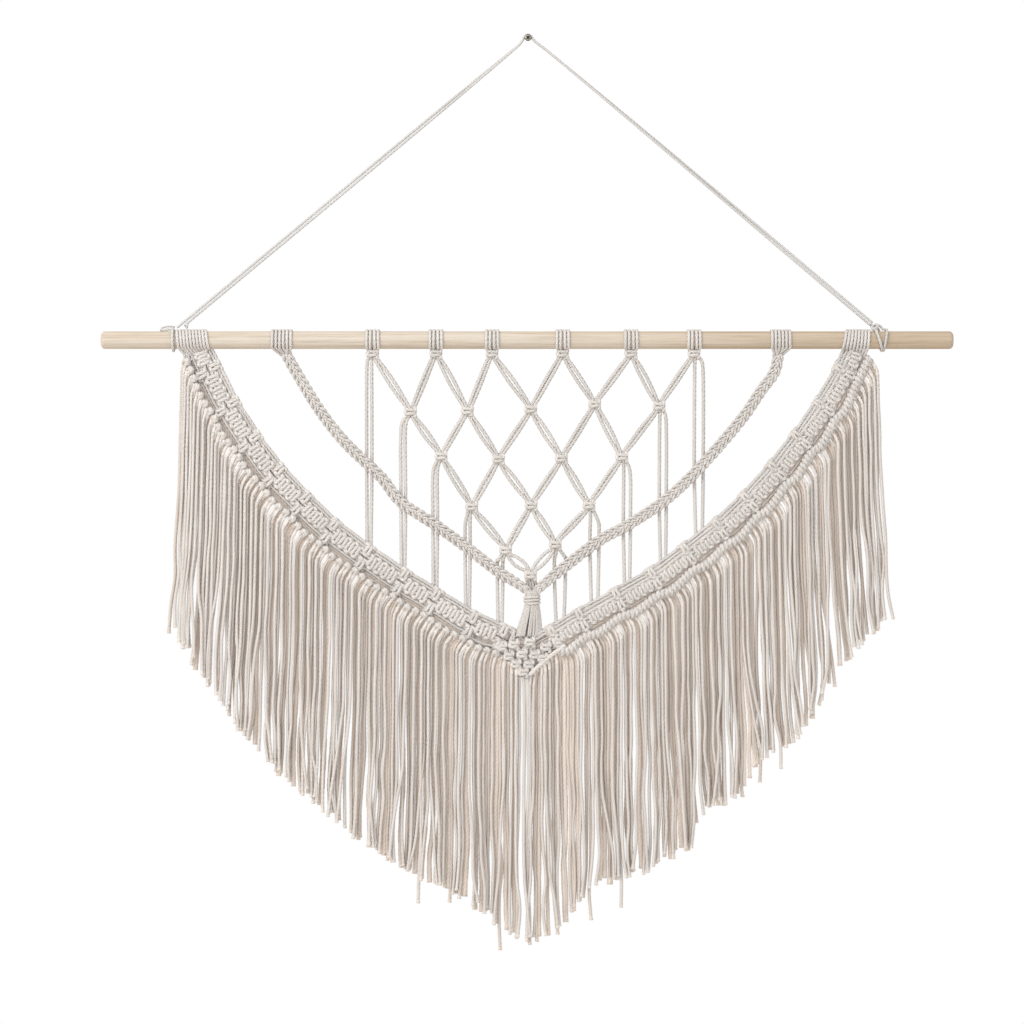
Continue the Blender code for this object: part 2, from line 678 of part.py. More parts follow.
def make_net():
    shell = Shell()
    knots = []
    for row, places in enumerate(NET_ROWS):
        level = []
        for x, z in places:
            hung_from = None
            if row == 0:
                half = NET_SLEEVE_WIDTH / 2
                hung_from = add_sleeve(shell, x - half, x + half, NET_SLEEVE_RIDGES, WRAP_THICKNESS, True)
            level.append(add_knot(shell, x, z, hung_from))
        knots.append(level)
    for row in range(len(knots) - 1):
        for k, (upper, _) in enumerate(knots[row + 1]):
            add_pair(shell, knots[row][k][1][2:], upper[:2], PAIR_BOWS[row])
            add_pair(shell, knots[row][k + 1][1][:2], upper[2:], PAIR_BOWS[row])
        add_drop(shell, knots[row][0][1][:2], row, -1)
        add_drop(shell, knots[row][-1][1][2:], row, 1)
    for k, start in enumerate(knots[-1][0][1]):
        x = GATHER_X + (k - 1.5) * TAIL_PITCH
        turn_z = centre_of(shell, start)[2] - TAIL_TURN
        heights = turn_z, GATHER_TOP_Z + GAP
        add_strand(shell, start, [level_quad(x, TAIL_Y, z, *TAIL_HALVES) for z in heights])
    body("net", shell, COTTON, 0.9)


# The fringe
def ridge_line(nodes, top, side):
    """Middle of the cord that carries the fringe. It nears the band at each tie and sags away between."""
    sections = band_side(nodes)
    points = [top]
    half = BAND_SECTIONS // 2
    for i in range(BAND_SECTIONS, len(sections) - half, half):
        middle, inner, _ = sections[i]
        offset = RIDGE_OFFSET + (RIDGE_SAG if i % BAND_SECTIONS else 0.0)
        points.append((middle[0] - inner[0] * offset, middle[1] - inner[1] * offset))
    points.append((FRINGE_TIP[0] + side * (RIDGE_BUMP + GAP / 2), FRINGE_TIP[1]))
    return evenly(smooth(points, 4), RIDGE_STEP)


def make_fringe(name, nodes, top, side):
    shell = Shell()
    line = ridge_line(nodes, top, side)
    last = len(line) - 1
    loops = []
    for i, (x, z) in enumerate(line):
        along = heading(line, i)
        outward = (-side * along[1], side * along[0])
        if i in (0, last):
            outward = (side * 1.0, 0.0)
        high = RIDGE_BUMP if i % 2 else RIDGE_DIP
        profile = [(-high, CLOTH_Y), *((high * out, y) for out, y in RIDGE_PROFILE)]
        loops.append(shell.add([(x + outward[0] * n, y, z + outward[1] * n) for n, y in profile]))
    for i in range(last):
        layer = i % 3
        for k in range(5):
            j = (k + 1) % 5
            quad = (loops[i][k], loops[i][j], loops[i + 1][j], loops[i + 1][k])
            if k == layer + 1:
                add_fringe_strand(shell, quad, layer, i, side, line[i])
            else:
                shell.faces.append(quad)
    shell.faces.append(loops[0])
    # The last strand hangs from the ridge's lower end, close beside the other half's
    middle_x = FRINGE_TIP[0] + side * (STRAND_HALF + GAP)
    shrink = STRAND_HALF / RIDGE_BUMP
    outline = [(middle_x + side * n * shrink, CLOTH_Y + (y - CLOTH_Y) * shrink) for n, y in profile]
    sections = []
    for z in (FRINGE_TIP[1] - SHOULDER_DROP, height_at(HEM, middle_x)):
        sections.append([(x, y, z) for x, y in outline])
    add_strand(shell, loops[-1], sections)
    body(name, shell, COTTON, 0.9)


def add_fringe_strand(shell, quad, layer, i, side, place):
    """One strand: out from its open face on the ridge, over a soft shoulder, then straight down to the hem.
    The face and the sections all run outer front, outer back, inner back, inner front."""
    root = centre_of(shell, quad)
    near_tip = min(1.0, abs(place[0] - FRINGE_TIP[0]) / TIP_REACH)
    steep = max(0.0, min(1.0, (STEEP_FROM_X - place[0]) / STEEP_BLEND))
    out = SHOULDER_OUT + (STEEP_OUT - SHOULDER_OUT) * steep
    x = root[0] + side * (out * near_tip - TIP_INWARD * (1 - near_tip)) + STRAND_SCATTER * sin(2.4 * i)
    y = LAYER_YS[layer]
    end_x = x + HEM_DRIFT * (x / HEM[-1][0])
    end_z = height_at(HEM, end_x) + HEM_SCATTER * sin(5.3 * i + side)
    for stray_x, stray_z in STRAYS:
        if abs(end_x - stray_x) < RIDGE_STEP / 2:
            end_z = stray_z
    shoulder_z = root[2] - SHOULDER_DROP
    sections = []
    for centre_x, z in ((x, shoulder_z), (end_x, end_z)):
        outer, inner = centre_x + side * STRAND_HALF, centre_x - side * STRAND_HALF
        front, back = y - STRAND_HALF, y + STRAND_HALF
        sections.append([(outer, front, z), (outer, back, z), (inner, back, z), (inner, front, z)])
    add_strand(shell, quad, sections)


def build():
    for obj in list(bpy.data.objects):
        bpy.data.objects.remove(obj, do_unlink=True)
    make_dowel()
    make_nail()
    make_hanger_strand("hanger_strand_a", STRAND_A)
    make_hanger_strand("hanger_strand_b", STRAND_B)
    make_ties()
    make_net()
    make_braid("braid_left", BRAID_LEFT, GATHER_X - BRAID_END_SHIFT)
    make_braid("braid_right", BRAID_RIGHT, GATHER_X + BRAID_END_SHIFT)
    make_gather()
    make_band()
    make_fringe("fringe_left", BAND_LEFT, FRINGE_LEFT_TOP, -1)
    make_fringe("fringe_right", BAND_RIGHT, FRINGE_RIGHT_TOP, 1)


build()
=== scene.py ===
"""The looks of a macrame wall hanging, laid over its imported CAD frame.

Units are metres, +Z is up and the front faces -Y. The origin is the centre of the nail's flat back.
Every cord is laid as its own three-ply rope along the line that it takes through the knots.
"""

from math import cos, pi, radians, sin, sqrt
from random import Random

import bpy
import numpy as np
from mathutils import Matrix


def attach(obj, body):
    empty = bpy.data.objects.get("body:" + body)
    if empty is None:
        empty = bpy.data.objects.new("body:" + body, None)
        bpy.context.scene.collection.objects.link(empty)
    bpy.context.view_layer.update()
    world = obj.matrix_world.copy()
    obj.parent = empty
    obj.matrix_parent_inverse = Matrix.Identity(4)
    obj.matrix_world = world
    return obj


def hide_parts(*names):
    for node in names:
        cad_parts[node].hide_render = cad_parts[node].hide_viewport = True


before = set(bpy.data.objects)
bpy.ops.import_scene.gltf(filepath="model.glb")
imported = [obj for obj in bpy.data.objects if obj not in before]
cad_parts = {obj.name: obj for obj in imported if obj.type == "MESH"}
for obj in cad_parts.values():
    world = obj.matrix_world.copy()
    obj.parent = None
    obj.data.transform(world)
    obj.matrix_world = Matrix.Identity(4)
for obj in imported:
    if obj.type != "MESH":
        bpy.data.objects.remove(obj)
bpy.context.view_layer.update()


# The view. The hanging is seen level from the front through a long lens, against plain white.
# Soft daylight comes from the upper left front. The wall is left out, so gaps in the knotting look
# through to the white.
VIEW_MIDDLE = (-0.0172, -0.014, -0.5097)
VIEW_DISTANCE = 3.5
VIEW_LENS = 114.66
VIEW_SENSOR = 36.0
VIEW_REACH = 30.0
WINDOW_PLACE = (-1.9, -2.2, 0.9)
WINDOW_SIZE = 2.0
WINDOW_POWER = 43.0
WINDOW_COLOUR = (1.0, 0.975, 0.94)
# The light of the room itself: warm from behind the hanging, and white from in front of it
ROOM_BEHIND = (0.86, 0.74, 0.63)
ROOM_IN_FRONT = (0.99, 0.99, 0.995)
WHITE = (1.0, 1.0, 1.0)
FLOOR_Z = -1.6
FLOOR_SIZE = 6.0
FLOOR_DARK = (0.74, 0.73, 0.71)
FLOOR_PALE = (0.80, 0.79, 0.77)


def feed(tree, node, inputs):
    """Gives each of these inputs of a node its value, or the socket that is linked to it."""
    for key, value in inputs.items():
        if isinstance(value, bpy.types.NodeSocket):
            tree.links.new(value, node.inputs[key])
        else:
            node.inputs[key].default_value = value


def add_node(tree, kind, inputs=None, **settings):
    """Adds a node to a node tree, with these settings and inputs."""
    made = tree.nodes.new(kind)
    for key, value in settings.items():
        setattr(made, key, value)
    feed(tree, made, inputs or {})
    return made


def calculate(tree, operation, *values):
    """The result socket of a maths node with these values or sockets."""
    return add_node(tree, "ShaderNodeMath", dict(enumerate(values)), operation=operation).outputs[0]


def rescale(tree, value, low, high, new_low, new_high):
    """A value moved smoothly from one range to another, kept inside it."""
    return add_node(tree, "ShaderNodeMapRange", {
        "Value": value, "From Min": low, "From Max": high, "To Min": new_low, "To Max": new_high,
    }, interpolation_type="SMOOTHSTEP").outputs["Result"]


def colour_ramp(tree, value, *stops):
    """The colour for a value, from a ramp through these stops, each a place on it and a colour."""
    ramp = add_node(tree, "ShaderNodeValToRGB", {"Fac": value})
    first, *between, last = stops
    for element, (place, colour) in zip(ramp.color_ramp.elements, (first, last)):
        element.position = place
        element.color = (*colour, 1.0)
    for place, colour in between:
        ramp.color_ramp.elements.new(place).color = (*colour, 1.0)
    return ramp.outputs["Color"]


def new_material(name):
    """A material, with its node tree and its shader."""
    made = bpy.data.materials.new(name)
    made.use_nodes = True
    return made, made.node_tree, made.node_tree.nodes["Principled BSDF"]


def add_object(name, data):
    """Adds an object with this data to the scene."""
    made = bpy.data.objects.new(name, data)
    bpy.context.scene.collection.objects.link(made)
    return made


camera = bpy.data.cameras.new("camera")
camera.sensor_width = VIEW_SENSOR
camera.lens = VIEW_LENS
camera.clip_end = VIEW_REACH
viewer = add_object("camera", camera)
viewer.location = (VIEW_MIDDLE[0], VIEW_MIDDLE[1] - VIEW_DISTANCE, VIEW_MIDDLE[2])
viewer.rotation_euler = (radians(90.0), 0.0, 0.0)
bpy.context.scene.camera = viewer
bpy.context.scene.view_settings.view_transform = "Standard"

window = bpy.data.lights.new("window", "AREA")
window.size = WINDOW_SIZE
window.energy = WINDOW_POWER
window.color = WINDOW_COLOUR
daylight = add_object("window", window)
daylight.location = WINDOW_PLACE
aim = np.array(VIEW_MIDDLE) - np.array(WINDOW_PLACE)
daylight.rotation_euler = (
    np.arctan2(sqrt(aim[0] ** 2 + aim[1] ** 2), -aim[2]), 0.0, np.arctan2(-aim[0], aim[1]))

studio = bpy.data.worlds.new("studio")
studio.use_nodes = True
bpy.context.scene.world = studio
air = studio.node_tree
air.nodes.clear()
towards = add_node(air, "ShaderNodeSeparateXYZ", {
    "Vector": add_node(air, "ShaderNodeTexCoord").outputs["Generated"]})
from_front = rescale(air, towards.outputs["Y"], 0.45, -0.80, 0.0, 1.0)
room_colour = colour_ramp(air, from_front, (0.0, ROOM_BEHIND), (1.0, ROOM_IN_FRONT))
room = add_node(air, "ShaderNodeBackground", {"Color": room_colour, "Strength": 1.0})
white = add_node(air, "ShaderNodeBackground", {"Color": (*WHITE, 1.0), "Strength": 1.0})
seen = add_node(air, "ShaderNodeMixShader", {
    0: add_node(air, "ShaderNodeLightPath").outputs["Is Camera Ray"],
    1: room.outputs[0],
    2: white.outputs[0],
})
add_node(air, "ShaderNodeOutputWorld", {"Surface": seen.outputs[0]})

floor_mesh = bpy.data.meshes.new("floor")
corners = [(FLOOR_SIZE / 2 * x, FLOOR_SIZE / 2 * y, FLOOR_Z) for x, y in ((-1, -1), (1, -1), (1, 1), (-1, 1))]
floor_mesh.from_pydata(corners, [], [(0, 1, 2, 3)])
floor = add_object("floor", floor_mesh)
floor_paint, paint, paint_shader = new_material("floor_paint")
grit = add_node(paint, "ShaderNodeTexNoise", {"Scale": 6.0, "Detail": 4.0}).outputs["Fac"]
feed(paint, paint_shader, {
    "Base Color": colour_ramp(paint, grit, (0.0, FLOOR_DARK), (1.0, FLOOR_PALE)), "Roughness": 0.7})
floor_mesh.materials.append(floor_paint)


# The hanging cord: two lengths of 3 mm cotton cord, greyer than the rest, that run side by side from
# the left end of the dowel over the nail to the right end.
HANGER_CORD = 0.003
HANGER_RADIUS = HANGER_CORD / 2
HANGER_TWIST = 0.012
# A strand that is pulled straight is a little thinner
STRAND_RADIUS = HANGER_RADIUS * 0.97
STRAND_STEP = 0.0018
STRAND_SEED = 16
STRAND_A = (
    (-0.3765, -0.0140, -0.3117), (-0.2611, -0.0117, -0.2154), (-0.1511, -0.0090, -0.1236),
    (-0.0809, -0.0072, -0.0654), (-0.0304, -0.0057, -0.0243), (-0.0105, -0.0052, -0.0081),
    (-0.0062, -0.0051, -0.0030), (-0.0032, -0.0051, 0.0020), (0.0000, -0.0051, 0.0034),
    (0.0032, -0.0051, 0.0020), (0.0062, -0.0051, -0.0022), (0.0110, -0.0052, -0.0064),
    (0.0301, -0.0056, -0.0214), (0.1306, -0.0078, -0.1045), (0.2610, -0.0111, -0.2146),
    (0.3697, -0.0140, -0.3068),
)
STRAND_B = (
    (-0.3664, -0.0140, -0.3127), (-0.3650, -0.0139, -0.3080), (-0.3600, -0.0138, -0.3023),
    (-0.2589, -0.0123, -0.2180), (-0.1489, -0.0105, -0.1262), (-0.0791, -0.0098, -0.0676),
    (-0.0296, -0.0092, -0.0253), (-0.0103, -0.0087, -0.0083), (-0.0062, -0.0086, -0.0030),
    (-0.0032, -0.0086, 0.0020), (0.0000, -0.0086, 0.0034), (0.0032, -0.0086, 0.0020),
    (0.0062, -0.0086, -0.0022), (0.0110, -0.0087, -0.0064), (0.0299, -0.0091, -0.0217),
    (0.1294, -0.0108, -0.1059), (0.2590, -0.0126, -0.2170), (0.3675, -0.0140, -0.3094),
)
# Six sides, in turn the crest of a ply and the valley between two, as shares of the radius
PLY_SIDES = 6
PLY_CREST = 1.05
PLY_VALLEY = 0.93
# How far along the cord a ply takes to go once round it, and the same for the fine yarns in a ply
PLY_TWIST = 0.015
YARN_TWIST = 0.018
YARNS = 21
FIBRES_ROUND = 14.0
FIBRES_ALONG = 260.0
# The distance between two rings of a cord, the steps of the curve from one route point to the next, and the
# rings over which a cut end spreads
CORD_STEP = 0.0022
CURVE_STEPS = 6
CUT_RINGS = 3
# A direction that no cord sets out in, to measure its turns from
SIDEWAYS = (0.31, 0.95, 0.05)


def smooth(points, steps):
    """Points on the smooth curve through these points, with this number of steps in each stretch."""
    points = np.array(points, float)
    padded = np.vstack([2 * points[0] - points[1], points, 2 * points[-1] - points[-2]])
    a, b, c, d = padded[:-3], padded[1:-2], padded[2:-1], padded[3:]
    stretches = []
    for step in range(steps):
        t = step / steps
        curve = 2 * a - 5 * b + 4 * c - d + t * (3 * b - a - 3 * c + d)
        stretches.append(b + 0.5 * t * (c - a + t * curve))
    line = np.stack(stretches, axis=1).reshape(-1, points.shape[1])
    return np.vstack([line, points[-1]])


def lengths_along(line):
    """Distance from the first point of the line to each of its points."""
    steps = np.linalg.norm(np.diff(line[:, :3], axis=0), axis=1)
    return np.concatenate([[0.0], np.cumsum(steps)])


def evenly(line, step):
    """Points at about this step along the line, in equal stretches from its first point to its last."""
    lengths = lengths_along(line)
    places = np.linspace(0.0, lengths[-1], max(2, round(lengths[-1] / step) + 1))
    return np.stack([np.interp(places, lengths, column) for column in line.T], axis=1)


class Cordage:
    """Lengths of three-ply cord, gathered into one mesh."""

    def __init__(self, seed):
        self.rings = []
        self.faces = []
        self.uvs = []
        self.tones = []
        self.count = 0
        self.chance = Random(seed)

    def lay(self, route, radius, step=CORD_STEP, twist=PLY_TWIST, cut=1.0):
        """Lays one cord along a smooth route. A route point may carry a second vector, which presses the cord
        flat along that vector by its length. cut is how far the far end spreads where it was cut."""
        line = evenly(smooth(route, CURVE_STEPS), step)
        middle = line[:, :3]
        along = np.gradient(middle, axis=0)
        along /= np.linalg.norm(along, axis=1)[:, None]
        side = np.cross(along[0], SIDEWAYS)
        sides = []
        for t in along:
            side = side - t * side.dot(t)
            side = side / sqrt(side.dot(side))
            sides.append(side)
        sides = np.array(sides)
        others = np.cross(along, sides)
        lengths = lengths_along(middle)
        spin = self.chance.uniform(0.0, 2 * pi)
        turn = spin + 2 * pi * (lengths[:, None] / twist + np.arange(PLY_SIDES)[None, :] / PLY_SIDES)
        reach = radius * np.where(np.arange(PLY_SIDES) % 2 == 0, PLY_CREST, PLY_VALLEY)
        spread = np.ones(len(line))
        if cut != 1.0:
            spread[-CUT_RINGS:] = np.linspace(1.0, cut, CUT_RINGS)
        offsets = np.cos(turn)[..., None] * sides[:, None, :] + np.sin(turn)[..., None] * others[:, None, :]
        offsets *= reach[None, :, None] * spread[:, None, None]
        if line.shape[1] > 3:
            press = line[:, 3:6]
            amount = np.linalg.norm(press, axis=1)
            pressed = press / np.maximum(amount, 1e-9)[:, None]
            depth = np.einsum("ijk,ik->ij", offsets, pressed)
            offsets -= depth[..., None] * (pressed * amount[:, None])[:, None, :]
        self.rings.append((middle[:, None, :] + offsets).reshape(-1, 3))
        count = len(line)
        ring = np.arange(PLY_SIDES)
        beside = (ring + 1) % PLY_SIDES
        starts = self.count + PLY_SIDES * np.arange(count - 1)[:, None]
        nexts = starts + PLY_SIDES
        walls = np.stack([starts + ring, starts + beside, nexts + beside, nexts + ring], -1)
        last = self.count + PLY_SIDES * (count - 1)
        caps = np.array([
            [self.count + k for k in (3, 2, 1, 0)], [self.count + k for k in (5, 4, 3, 0)],
            [last + k for k in (0, 1, 2, 3)], [last + k for k in (0, 3, 4, 5)]])
        self.faces.append(np.concatenate([walls.reshape(-1, 4), caps]))
        u = np.stack([ring, ring + 1, ring + 1, ring], -1) / PLY_SIDES
        v = np.stack([lengths[:-1], lengths[:-1], lengths[1:], lengths[1:]], -1)
        walls_uv = np.stack(np.broadcast_arrays(u[None, :, :], v[:, None, :]), -1).reshape(-1, 2)
        # The flat ends have no plies, and take the look of one point of the cord
        caps_uv = np.full((caps.size, 2), 0.25)
        self.uvs.append(np.concatenate([walls_uv, caps_uv]))
        self.tones.append(np.full(count * PLY_SIDES, self.chance.uniform(-1.0, 1.0)))
        self.count += count * PLY_SIDES
        return middle

    def piece(self, name, material, slot, *nodes):
        """The object with everything laid so far, in place of these CAD nodes."""
        mesh = bpy.data.meshes.new(name)
        mesh.vertices.add(self.count)
        mesh.vertices.foreach_set("co", np.concatenate(self.rings).ravel())
        faces = np.concatenate(self.faces)
        mesh.loops.add(faces.size)
        mesh.loops.foreach_set("vertex_index", faces.ravel())
        mesh.polygons.add(len(faces))
        mesh.polygons.foreach_set("loop_start", np.arange(0, faces.size, 4))
        mesh.update(calc_edges=True)
        mesh.uv_layers.new(name="cord").data.foreach_set("uv", np.concatenate(self.uvs).ravel())
        mesh.attributes.new("tone", "FLOAT", "POINT").data.foreach_set("value", np.concatenate(self.tones))
        mesh.shade_smooth()
        mesh.materials.append(material)
        made = add_object(name, mesh)
        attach(made, "root")
        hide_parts(*nodes)
        return made


def cord_twist_group():
    """The look of three-ply cord round its own axis: how far a point stands out on its ply, and the fine
    cotton fibres that run along it."""
    group = bpy.data.node_groups.new("cord_twist", "ShaderNodeTree")
    group.interface.new_socket("Fibre", in_out="INPUT", socket_type="NodeSocketFloat").default_value = 0.2
    for name in ("Ply", "Height"):
        group.interface.new_socket(name, in_out="OUTPUT", socket_type="NodeSocketFloat")
    given = add_node(group, "NodeGroupInput")
    on_cord = add_node(group, "ShaderNodeSeparateXYZ", {
        "Vector": add_node(group, "ShaderNodeUVMap", uv_map="cord").outputs["UV"]})
    round_cord, along_cord = on_cord.outputs["X"], on_cord.outputs["Y"]
    swell = calculate(group, "ABSOLUTE", calculate(group, "COSINE", calculate(
        group, "MULTIPLY", round_cord, 3 * pi)))
    turns = calculate(group, "MULTIPLY_ADD", along_cord, 1 / YARN_TWIST, round_cord)
    fuzz = add_node(group, "ShaderNodeTexNoise", {
        "Vector": add_node(group, "ShaderNodeCombineXYZ", {
            "X": calculate(group, "MULTIPLY", turns, FIBRES_ROUND),
            "Y": calculate(group, "MULTIPLY", along_cord, FIBRES_ALONG),
            "Z": round_cord,
        }).outputs[0],
        "Scale": 2.0,
        "Detail": 3.0,
        "Roughness": 0.65,
    }).outputs["Fac"]
    yarn = calculate(group, "SINE", calculate(
        group, "MULTIPLY_ADD", turns, 2 * pi * YARNS, calculate(group, "MULTIPLY", fuzz, 5.0)))
    fibres = calculate(group, "MULTIPLY", given.outputs["Fibre"], calculate(
        group, "MULTIPLY_ADD", yarn, 0.35, fuzz))
    add_node(group, "NodeGroupOutput", {
        "Ply": swell,
        "Height": calculate(group, "ADD", calculate(group, "POWER", swell, 0.6), fibres),
    })
    return group


cord_twist = cord_twist_group()


def cotton(name, crest, flank, valley_shade, fibre):
    """Undyed cotton cord: pale on each ply's crest, painted darker and warmer as shade between the plies."""
    made, tree, shader = new_material(name)
    twist = add_node(tree, "ShaderNodeGroup", {"Fibre": fibre}, node_tree=cord_twist)
    # The ply's ramp paints shade: from the pale crest down through the flank to a darker, warmer valley
    ply_shade_colours = colour_ramp(tree, twist.outputs["Ply"], (0.0, valley_shade), (0.35, flank), (0.85, crest))
    soil = add_node(tree, "ShaderNodeTexNoise", {
        "Vector": add_node(tree, "ShaderNodeTexCoord").outputs["Object"],
        "Scale": 30.0,
        "Detail": 3.0,
    }).outputs["Fac"]
    tone = add_node(tree, "ShaderNodeAttribute", attribute_name="tone").outputs["Fac"]
    value = calculate(tree, "ADD", rescale(tree, soil, 0.3, 0.7, 0.965, 1.02), calculate(
        tree, "MULTIPLY", tone, 0.035))
    shaded = add_node(tree, "ShaderNodeHueSaturation", {"Value": value, "Color": ply_shade_colours})
    relief = add_node(tree, "ShaderNodeBump", {
        "Strength": 0.7, "Distance": 0.0005, "Height": twist.outputs["Height"]})
    feed(tree, shader, {
        "Base Color": shaded.outputs["Color"],
        "Normal": relief.outputs["Normal"],
        "Roughness": 0.95,
        "Specular IOR Level": 0.2,
        "Sheen Weight": 0.12,
        "Sheen Roughness": 0.6,
    })
    return made


hanging_cotton = cotton(
    "hanging_cord", crest=(0.83, 0.82, 0.81), flank=(0.76, 0.745, 0.73), valley_shade=(0.56, 0.54, 0.51), fibre=0.3)
for name, route in (("hanging_strand_a", STRAND_A), ("hanging_strand_b", STRAND_B)):
    strand = Cordage(STRAND_SEED)
    path = strand.lay(route, STRAND_RADIUS, STRAND_STEP, HANGER_TWIST)
    hung = strand.piece(name, hanging_cotton, "hanging_cord", name.replace("hanging", "hanger"))


# The ties: at the left end one turn of the hanging cord round the dowel with its cut tail along the top,
# at the right end a small knot on top of the dowel with two turns that meet in a V below.
DOWEL_RADIUS = 0.0095
DOWEL_Z = -0.3253
# The dowel's axis and the middle of the knotted cloth stand this far in front of the wall
CLOTH_Y = -0.014
TIE_CLEARANCE = 0.0003
TIE_REACH = DOWEL_RADIUS + TIE_CLEARANCE + HANGER_RADIUS
TURN_POINTS = 15
# How far a turn goes on past the top at its start and end
TURN_OVERLAP = 0.25
TURN_STEP = 0.0015
TIE_DETAIL_STEP = 0.0012
# The turns at the top and below the dowel. The left one isn't pulled tight and is plumper.
LEFT_TURN = (-0.3810, -0.3804)
LEFT_TURN_RADIUS = HANGER_RADIUS * 1.12
RIGHT_TURNS = ((0.3722, 0.3798), (0.3848, 0.3812))
LEFT_TAIL = (
    (-0.3795, -0.0160, -0.3138), (-0.3840, -0.0155, -0.3132), (-0.3890, -0.0150, -0.3140),
    (-0.3945, -0.0146, -0.3141),
)
LEFT_TAIL_RADIUS = 0.0018
LEFT_LOOSE_PLY = (
    (-0.3790, -0.0140, -0.3112), (-0.3830, -0.0136, -0.3104), (-0.3868, -0.0132, -0.3104),
    (-0.3905, -0.0128, -0.3112), (-0.3940, -0.0125, -0.3126),
)
LOOSE_PLY_RADIUS = 0.0010
LOOSE_PLY_TWIST = 0.008
KNOT_MIDDLE = (0.3722, CLOTH_Y, -0.3117)
KNOT_RADIUS = HANGER_RADIUS * 0.95
# The knot's turns: across, towards the wall and up from its middle
KNOT_TURNS = (
    (0.0052, 0.0015, -0.0036), (0.0030, 0.0026, -0.0006), (-0.0016, 0.0022, 0.0026),
    (-0.0036, -0.0006, 0.0006), (-0.0010, -0.0030, -0.0020), (0.0026, -0.0022, 0.0004),
    (0.0022, 0.0006, 0.0032), (-0.0016, 0.0010, 0.0020), (-0.0030, -0.0016, -0.0024),
    (0.0004, -0.0032, -0.0006), (0.0036, -0.0010, 0.0024), (0.0060, 0.0006, 0.0012),
    (0.0086, 0.0006, -0.0016), (0.0116, -0.0002, -0.0024),
)


def round_dowel(x, reach, angle, press=0.0):
    """A route point round the dowel, pressed flat against it. Angle 0 is the top, 90 degrees the front."""
    out = (0.0, -sin(angle), cos(angle))
    return (x, CLOTH_Y + reach * out[1], DOWEL_Z + reach * out[2], 0.0, press * out[1], press * out[2])


def tie_turn(top_x, foot_x):
    """One turn round the dowel, which leans from one x at the top to another below."""
    middle, lean = (top_x + foot_x) / 2, (top_x - foot_x) / 2
    angles = np.linspace(-TURN_OVERLAP, 2 * pi + TURN_OVERLAP, TURN_POINTS)
    return [round_dowel(middle + lean * cos(angle), TIE_REACH, angle) for angle in angles]


left_tie = Cordage(seed=11)
left_tie.lay(tie_turn(*LEFT_TURN), LEFT_TURN_RADIUS, TURN_STEP, HANGER_TWIST)
left_tie.lay(LEFT_TAIL, LEFT_TAIL_RADIUS, TIE_DETAIL_STEP, HANGER_TWIST, cut=1.2)
left_tie.lay(LEFT_LOOSE_PLY, LOOSE_PLY_RADIUS, TIE_DETAIL_STEP, LOOSE_PLY_TWIST, cut=1.3)
left_tie.piece("left_tie", hanging_cotton, "hanging_cord", "hanger_tie_left")

right_tie = Cordage(seed=12)
for turn in RIGHT_TURNS:
    right_tie.lay(tie_turn(*turn), HANGER_RADIUS, TURN_STEP, HANGER_TWIST)
right_tie.lay(np.array(KNOT_MIDDLE) + KNOT_TURNS, KNOT_RADIUS, TIE_DETAIL_STEP, HANGER_TWIST)
right_tie.piece("right_tie", hanging_cotton, "hanging_cord", "hanger_tie_right")


# The dowel: a birch rod a yard long and 3/4 inch thick. It is sawn to length, its ends are softly rounded,
# and it is sanded and left bare. The hanging cord and all the cords of the cloth are tied round it.
DOWEL_LENGTH = 0.914
DOWEL_X = -0.001
DOWEL_ROUNDING = 0.0042
DOWEL_END_MIDDLE = 0.0012
DOWEL_END_RUN = 0.02
DOWEL_RINGS = 24
DOWEL_SIDES = 64
ROUNDING_RINGS = 8
WOOD_DARK = (0.53, 0.435, 0.335)
WOOD_MIDDLE = (0.655, 0.585, 0.49)
WOOD_PALE = (0.70, 0.64, 0.555)
# Between these x the rod grows browner, by this colour, towards its right end
BROWNING_RUN = (-0.1, 0.45)
RIGHT_END_BROWN = (0.82, 0.745, 0.655)


def turned(name, profile, place, sides):
    """A turned mesh from its profile of distances along the axis and radii, closed at both ends. place gives
    the point at a distance, a radius and an angle."""
    points = [place(along, radius, 2 * pi * k / sides) for along, radius in profile for k in range(sides)]
    faces = []
    for i in range(len(profile) - 1):
        for k in range(sides):
            j = (k + 1) % sides
            faces.append((i * sides + k, i * sides + j, (i + 1) * sides + j, (i + 1) * sides + k))
    faces.append(tuple(range(sides))[::-1])
    faces.append(tuple((len(profile) - 1) * sides + k for k in range(sides)))
    mesh = bpy.data.meshes.new(name)
    mesh.from_pydata(points, [], faces)
    mesh.validate()
    mesh.shade_smooth()
    return mesh


rounded = [(0.0, DOWEL_END_MIDDLE)]
for angle in np.linspace(0.0, pi / 2, ROUNDING_RINGS):
    rounded.append((DOWEL_ROUNDING * (1 - cos(angle)), DOWEL_RADIUS - DOWEL_ROUNDING * (1 - sin(angle))))
left_end, right_end = DOWEL_X - DOWEL_LENGTH / 2, DOWEL_X + DOWEL_LENGTH / 2
dowel_profile = [(left_end + inset, radius) for inset, radius in rounded]
for x in np.linspace(left_end + DOWEL_END_RUN, right_end - DOWEL_END_RUN, DOWEL_RINGS):
    dowel_profile.append((x, DOWEL_RADIUS))
dowel_profile += [(right_end - inset, radius) for inset, radius in rounded[::-1]]
dowel_mesh = turned("dowel_rod", dowel_profile, lambda x, r, a: round_dowel(x, r, -a)[:3], DOWEL_SIDES)

birch, wood, wood_shader = new_material("dowel_wood")
on_rod = add_node(wood, "ShaderNodeTexCoord").outputs["Object"]


def wood_noise(scale, **inputs):
    """Noise that is drawn out along the rod, by these scales along and across it."""
    drawn_out = add_node(wood, "ShaderNodeMapping", {"Vector": on_rod, "Scale": scale}).outputs["Vector"]
    return add_node(wood, "ShaderNodeTexNoise", {"Vector": drawn_out, "Scale": 1.0, **inputs}).outputs["Fac"]


